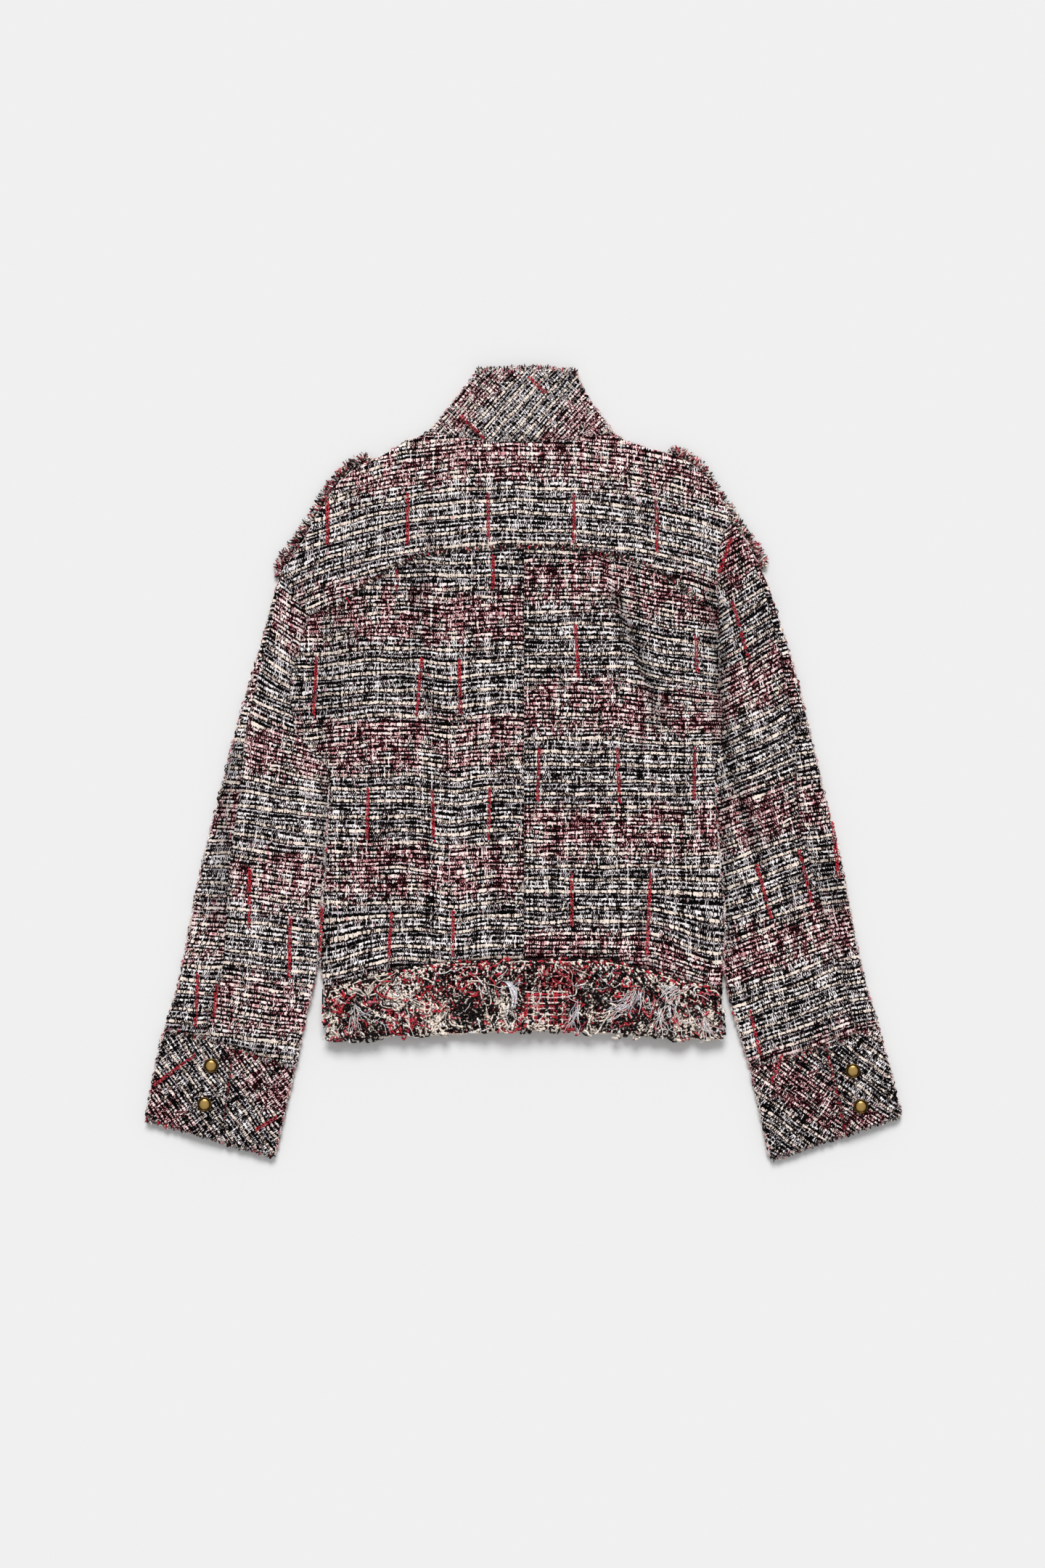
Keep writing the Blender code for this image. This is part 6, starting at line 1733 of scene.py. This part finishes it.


# The weft repeat, listed: 30 pairs of rows, a light row and a dark one.  It
# starts in a rose zone.  Columns: colour and share of the light row, strength
# of the black in the dark row.
ROWS = (
    (CREAM, 0.62, 0.7), (WHITE, 0.50, 0.9), (CREAM, 0.55, 0.6), (CREAM, 0.66, 1.0), (WHITE, 0.46, 0.6),
    (WHITE, 0.54, 0.8), (CREAM, 0.66, 0.9), (WHITE, 0.44, 0.5), (GREY, 0.42, 1.0), (CREAM, 0.66, 0.7),
    (WHITE, 0.46, 0.6), (WHITE, 0.56, 0.8), (CREAM, 0.72, 1.0), (GREY, 0.36, 1.0), (WHITE, 0.46, 0.7),
    (WHITE, 0.56, 0.6), (CREAM, 0.62, 0.9), (GREY, 0.40, 0.8), (WHITE, 0.52, 0.6), (CREAM, 0.70, 1.0),
    (GREY, 0.40, 0.7), (WHITE, 0.54, 0.6), (CREAM, 0.66, 1.0), (GREY, 0.36, 0.9), (CREAM, 0.72, 0.8),
    (WHITE, 0.46, 0.9), (CREAM, 0.64, 1.0), (WHITE, 0.48, 0.7), (CREAM, 0.72, 1.0), (WHITE, 0.50, 0.8),
)
# Strength of the rose in each tenth of the repeat: a full zone, a fade, a faint
# stretch between the zones, and a fade back.
ROSE_SHARE = (1.0, 0.8, 0.3, 0.1, 0.1, 0.1, 0.1, 0.3, 0.8, 1.0)

# Lightness of the warp across its own repeat: a lighter half and a darker half.
WARP_BANDS = (0.8, 0.8, 0.8, 0.8, 0.5, 0.2, 0.2, 0.2, 0.2, 0.5)

ROW_PAIR, WARP_PITCH, REPEAT = 128 / 30, 2.24, 128.0  # mm
WARP_REPEAT = 21.6  # mm, the pitch measured in the photo


def tweed(name, rose=0.0, seed=0.0, rose_tones=ROSE_TONES, knots_by=1.0, cross=0.30, lighter=0.0, scale=1.0, contrast=1.0):
    material = bpy.data.materials.new(name)
    material.use_nodes = True
    tree = material.node_tree
    shader = next(n for n in tree.nodes if n.type == "BSDF_PRINCIPLED")
    uv = tree.nodes.new("ShaderNodeUVMap")
    uv.uv_map = "cloth"
    split = tree.nodes.new("ShaderNodeSeparateXYZ")
    tree.links.new(uv.outputs[0], split.inputs[0])
    warp = Term(tree, split.outputs[0]) * (100.0 * scale)
    weft = Term(tree, split.outputs[1]) * (100.0 * scale)
    # Yarns wander: a slow bow, and the knots of the boucle.
    slow = noise(tree, vector(tree, warp / 46.0, weft / 20.0, seed))
    quick = noise(tree, vector(tree, warp / 3.6, weft / 3.0, seed), 1.0)
    q = weft + (slow[0] - 0.5) * 5.0 + (quick[0] - 0.5) * 1.5
    p = warp + (slow[1] - 0.5) * 3.0 + (quick[1] - 0.5) * 1.1

    pair = q / ROW_PAIR
    row = pair.floor()
    down = pair.fract()
    place = (row / 30.0 + 0.5 / 30.0).fract()
    light_row = chart(tree, place, [colour for colour, _, _ in ROWS], [share for _, share, _ in ROWS])
    strength = Term(tree, chart(tree, place, [(s, s, s) for _, _, s in ROWS]).colour)
    # A row thickens, thins and changes tone along its length.
    swell = noise(tree, vector(tree, p / 16.0, row * 7.3 + seed), 1.0)
    knot = noise(tree, vector(tree, p / 1.7, row * 5.1 + seed), 0.0)
    share = Term(tree, light_row.alpha) + (swell[0] - 0.5) * 0.4 + (knot[0] - 0.5) * 0.5
    s_light = ((share - down) / 0.12 + 0.5).soft(0.0, 1.0) * (down / 0.10).soft(0.0, 1.0)
    half = ((share + 0.02 - down)).op("LESS_THAN", 0.0)
    line = row * 2.0 + half

    columns = p / WARP_PITCH
    end = columns.floor()
    cell = random(tree, vector(tree, end, line, seed + 3.0))
    lane = random(tree, vector(tree, end, 0.5, seed))
    across = (columns.fract() - 0.5 + (cell[2] - 0.5) * 0.3).op("ABSOLUTE") * 2.0
    tick = 1.0 - across.soft(0.30, 0.62)
    light_tick = tick * cell[0].op("LESS_THAN", 0.60)
    dark_tick = tick * cell[1].op("LESS_THAN", 0.52)
    # Some warps float over several rows.
    floats = random(tree, vector(tree, end, (row / 3.0 + lane[1]).floor(), seed + 5.0))
    long_tick = tick * floats[0].op("LESS_THAN", 0.14)

    is_cream = Term(tree, light_row.alpha).above(0.6)
    fibre = noise(tree, vector(tree, warp / 1.3, weft / 1.05, seed), 1.0, rough=0.7)
    clump = noise(tree, vector(tree, p / 9.0, q / 2.7, seed + 2.0), 1.0)
    stripe = noise(tree, vector(tree, p / 7.5, weft / 170.0, seed + 9.0), 1.0)
    patch = noise(tree, vector(tree, p / 24.0, q / 13.0, seed + 4.0), 1.0)
    stretch_dark = (swell[1] - 0.5) * 1.3
    base_dark = 0.25 - strength * 0.50 - stretch_dark * 0.8
    base_light = 0.85 + is_cream * 0.03 + (swell[2] - 0.5) * 0.6
    tone = base_dark + (base_light - base_dark) * s_light
    tone = tone + light_tick * (1.0 - s_light) * 0.62 - dark_tick * s_light * (0.78 - is_cream * 0.22)
    tone = tone + long_tick * 0.5
    # Light warps that show on most rows, and their dark neighbours.
    light_end = tick * lane[2].op("LESS_THAN", cross) * cell[1].above(0.25)
    dark_end = tick * lane[2].above(1.0 - 0.5 * cross) * cell[0].above(0.35)
    tone = tone + light_end * 0.34 - dark_end * 0.30
    tone = tone + (cell[2] - 0.5) * 0.5 + (fibre[0] - 0.5) * 1.1 + (clump[0] - 0.5) * (0.95 * knots_by)
    band = chart(tree, (warp / WARP_REPEAT).fract(), [(v, v, v) for v in WARP_BANDS], smooth=True).colour
    tone = tone + (stripe[0] - 0.5) * 0.4 + (patch[0] - 0.5) * 0.35 + (Term(tree, band) - 0.5) * 0.19 + (lighter - 0.10)
    if contrast != 1.0:
        tone = (tone - 0.5) * contrast + 0.5

    # Rose in soft patches of the rose zones.
    zone = noise(tree, vector(tree, warp / 26.0, weft / 20.0, seed + 7.0), 1.0)
    rosy = Term(tree, chart(tree, (weft / REPEAT).fract(), [(v, v, v) for v in ROSE_SHARE], smooth=True).colour)
    rosy = rosy * (0.22 + zone[0].soft(0.38, 0.60) * 0.8 + stripe[1].soft(0.50, 0.60) * 0.55) + rose
    knots = random(tree, vector(tree, (p / 2.9).floor(), line, seed + 11.0))
    tinted = (rosy * 1.25 - knots[0] * 0.9).soft(0.0, 0.6)
    tone = tone - (rosy - rose) * 0.15
    plain = chart(tree, tone, PLAIN_TONES, smooth=True, stops=TONE_STOPS).colour
    pink = chart(tree, tone, rose_tones, smooth=True, stops=TONE_STOPS).colour
    plain = mixed(tree, 1.0, plain, light_row.colour, "MULTIPLY")
    colour = mixed(tree, tinted, plain, pink)
    red = knots[1].op("LESS_THAN", rosy * 0.05 + 0.003) * tone.soft(0.4, 0.7) * s_light
    colour = mixed(tree, red * 0.7, colour, ROSE)
    # Painted shade: the colour is darkened where the mesh holds painted shade along folds and seams.
    held = tree.nodes.new("ShaderNodeAttribute")
    held.attribute_name = "painted_shading"
    colour = scaled(tree, colour, 1.0 - Term(tree, held.outputs["Fac"]))
    tree.links.new(colour, shader.inputs["Base Color"])
    shader.inputs["Roughness"].default_value = 0.92
    shader.inputs["Specular IOR Level"].default_value = 0.06
    bump = tree.nodes.new("ShaderNodeBump")
    bump.inputs["Strength"].default_value = 0.6
    bump.inputs["Distance"].default_value = 0.0009
    tree.links.new(tone.soft(0.0, 1.1).socket, bump.inputs["Height"])
    tree.links.new(bump.outputs[0], shader.inputs["Normal"])
    return material


def yarn(name, painted_knot_shading=0.0):
    material = bpy.data.materials.new(name)
    material.use_nodes = True
    tree = material.node_tree
    shader = next(n for n in tree.nodes if n.type == "BSDF_PRINCIPLED")
    tint = tree.nodes.new("ShaderNodeAttribute")
    tint.attribute_name = "yarn"
    place = tree.nodes.new("ShaderNodeTexCoord")
    split = tree.nodes.new("ShaderNodeSeparateXYZ")
    tree.links.new(place.outputs["Object"], split.inputs[0])
    x, y, z = (Term(tree, out) * 1000.0 for out in split.outputs)
    fibre = noise(tree, vector(tree, x / 0.9, y / 0.9, z / 0.9), 1.0, "3D")
    clump = noise(tree, vector(tree, x / 2.4, y / 2.4, z / 2.4), 0.0, "3D")
    # Painted shade and highlight of the boucle's knots: black and cream clumps along the yarn.
    colour = mixed(tree, clump[1].soft(0.54, 0.60) * painted_knot_shading, tint.outputs["Color"], BLACK)
    colour = mixed(tree, clump[2].soft(0.64, 0.70) * (painted_knot_shading * 0.7), colour, CREAM)
    tree.links.new(scaled(tree, colour, fibre[0].soft(0.30, 0.66) * 0.62 + 0.66), shader.inputs["Base Color"])
    shader.inputs["Roughness"].default_value = 0.9
    shader.inputs["Specular IOR Level"].default_value = 0.12
    bump = tree.nodes.new("ShaderNodeBump")
    bump.inputs["Strength"].default_value = 0.6
    bump.inputs["Distance"].default_value = 0.0006
    tree.links.new(fibre[1].socket, bump.inputs["Height"])
    tree.links.new(bump.outputs[0], shader.inputs["Normal"])
    return material


def brass(name):
    material = bpy.data.materials.new(name)
    material.use_nodes = True
    tree = material.node_tree
    shader = next(n for n in tree.nodes if n.type == "BSDF_PRINCIPLED")
    dome_painted_shading = tree.nodes.new("ShaderNodeAttribute")
    dome_painted_shading.attribute_name = "dome_painted_shading"
    raised = Term(tree, dome_painted_shading.outputs["Fac"])
    place = tree.nodes.new("ShaderNodeTexCoord")
    split = tree.nodes.new("ShaderNodeSeparateXYZ")
    tree.links.new(place.outputs["Object"], split.inputs[0])
    x, y, z = (Term(tree, out) * 1000.0 for out in split.outputs)
    cloud = noise(tree, vector(tree, x / 2.2, y / 2.2, z / 2.2), 3.0, "3D")
    # Painted highlight and shade: the brass is lighter where the cap stands high and darker down its sides and in the
    # rim's groove, mottled by the cloud noise.
    painted_light_and_mottle = (raised + (cloud[0] - 0.5) * 0.4).soft(0.42, 1.02)
    colour = mixed(tree, painted_light_and_mottle, linear(0.20, 0.13, 0.06), linear(0.86, 0.70, 0.42))
    tree.links.new(colour, shader.inputs["Base Color"])
    shader.inputs["Metallic"].default_value = 1.0
    tree.links.new((0.28 - painted_light_and_mottle * 0.06 + cloud[1] * 0.08).socket, shader.inputs["Roughness"])
    return material


TWEED = tweed("tweed")
TWEED_PALE = tweed("tweed_pale", lighter=0.055)
TWEED_BIAS = tweed("tweed_bias", seed=2.0, cross=0.85, lighter=-0.17, scale=1.15, contrast=1.08)
TWEED_COLLAR = tweed("tweed_collar", rose=0.04, seed=2.0, cross=0.95, lighter=-0.01, scale=1.25, contrast=0.98)
TWEED_BAND = tweed("tweed_band", rose=0.45, seed=4.0, rose_tones=RED_TONES, knots_by=1.5, lighter=-0.25)
YARN, BOUCLE, BRASS = yarn("yarn"), yarn("boucle_yarn_painted_knot_shading", 0.85), brass("brass_with_painted_shading")

# ------------------------------------------------------------- materials, parents and hidden parts
for node, obj in pieces.items():
    pale = node.startswith(("back_yoke", "sleeve_left"))
    bias = node.startswith(("cuff", "epaulette"))
    obj.data.materials.append(
        TWEED_BAND if node == "hem_band" else TWEED_COLLAR if node == "collar" else TWEED_BIAS if bias else TWEED_PALE if pale else TWEED
    )
    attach(obj, "root")
    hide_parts(node)
for obj in yarn_pieces + [fringe_under]:
    painted_knot_shading = obj.name in ("fringe_hem_short", "fringe_hem_upper", "fringe_hem_loops", "fringe_hem_front") or obj.name.startswith("fray")
    obj.data.materials.append(BOUCLE if painted_knot_shading else YARN)
    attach(obj, "root")
for obj in snap_pieces:
    obj.data.materials.append(BRASS)
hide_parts("hem_fringe_back")
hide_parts("hem_fringe_front")
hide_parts("yoke_fringe")

# ------------------------------------------------------ floor, light, camera
floor = mesh_of(
    "floor",
    np.array([(-60, -60, -0.0003), (60, -60, -0.0003), (60, 60, -0.0003), (-60, 60, -0.0003)], float),
    np.array([[0, 1, 2, 3]]), False,
)
paper = bpy.data.materials.new("pale_paper")
paper.use_nodes = True
shader = next(n for n in paper.node_tree.nodes if n.type == "BSDF_PRINCIPLED")
shader.inputs["Base Color"].default_value = (0.80, 0.80, 0.80, 1)
shader.inputs["Roughness"].default_value = 1.0
shader.inputs["Specular IOR Level"].default_value = 0.0
floor.data.materials.append(paper)
floor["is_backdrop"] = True

SKY, SUN, SUN_TILT = 0.50, 2.62, 45.0
world = bpy.data.worlds.new("studio")
world.use_nodes = True
background = next(n for n in world.node_tree.nodes if n.type == "BACKGROUND")
background.inputs["Color"].default_value = (1, 1, 1, 1)
background.inputs["Strength"].default_value = SKY
bpy.context.scene.world = world
lamp = bpy.data.lights.new("softbox", "SUN")
lamp.energy = SUN
lamp.angle = math.radians(26)
light = bpy.data.objects.new("softbox", lamp)
light.rotation_euler = (-math.radians(SUN_TILT), 0, 0)
light.location = (0, 3, 3)
bpy.context.scene.collection.objects.link(light)

bpy.context.scene.view_settings.view_transform = "Standard"
bpy.context.scene.view_settings.look = "None"

AWAY = 4.0
camera_data = bpy.data.cameras.new("camera")
camera_data.sensor_width = 36.0
camera_data.lens = 36.0 * AWAY / (2160 * UNIT)
camera_data.clip_end = 250.0
camera = bpy.data.objects.new("camera", camera_data)
camera.location = tuple(metres(np.array([720.0, 1080.0]), np.array(0.0)) + SHIFT + [0, 0, AWAY])
bpy.context.scene.collection.objects.link(camera)
bpy.context.scene.camera = camera

low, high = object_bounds()
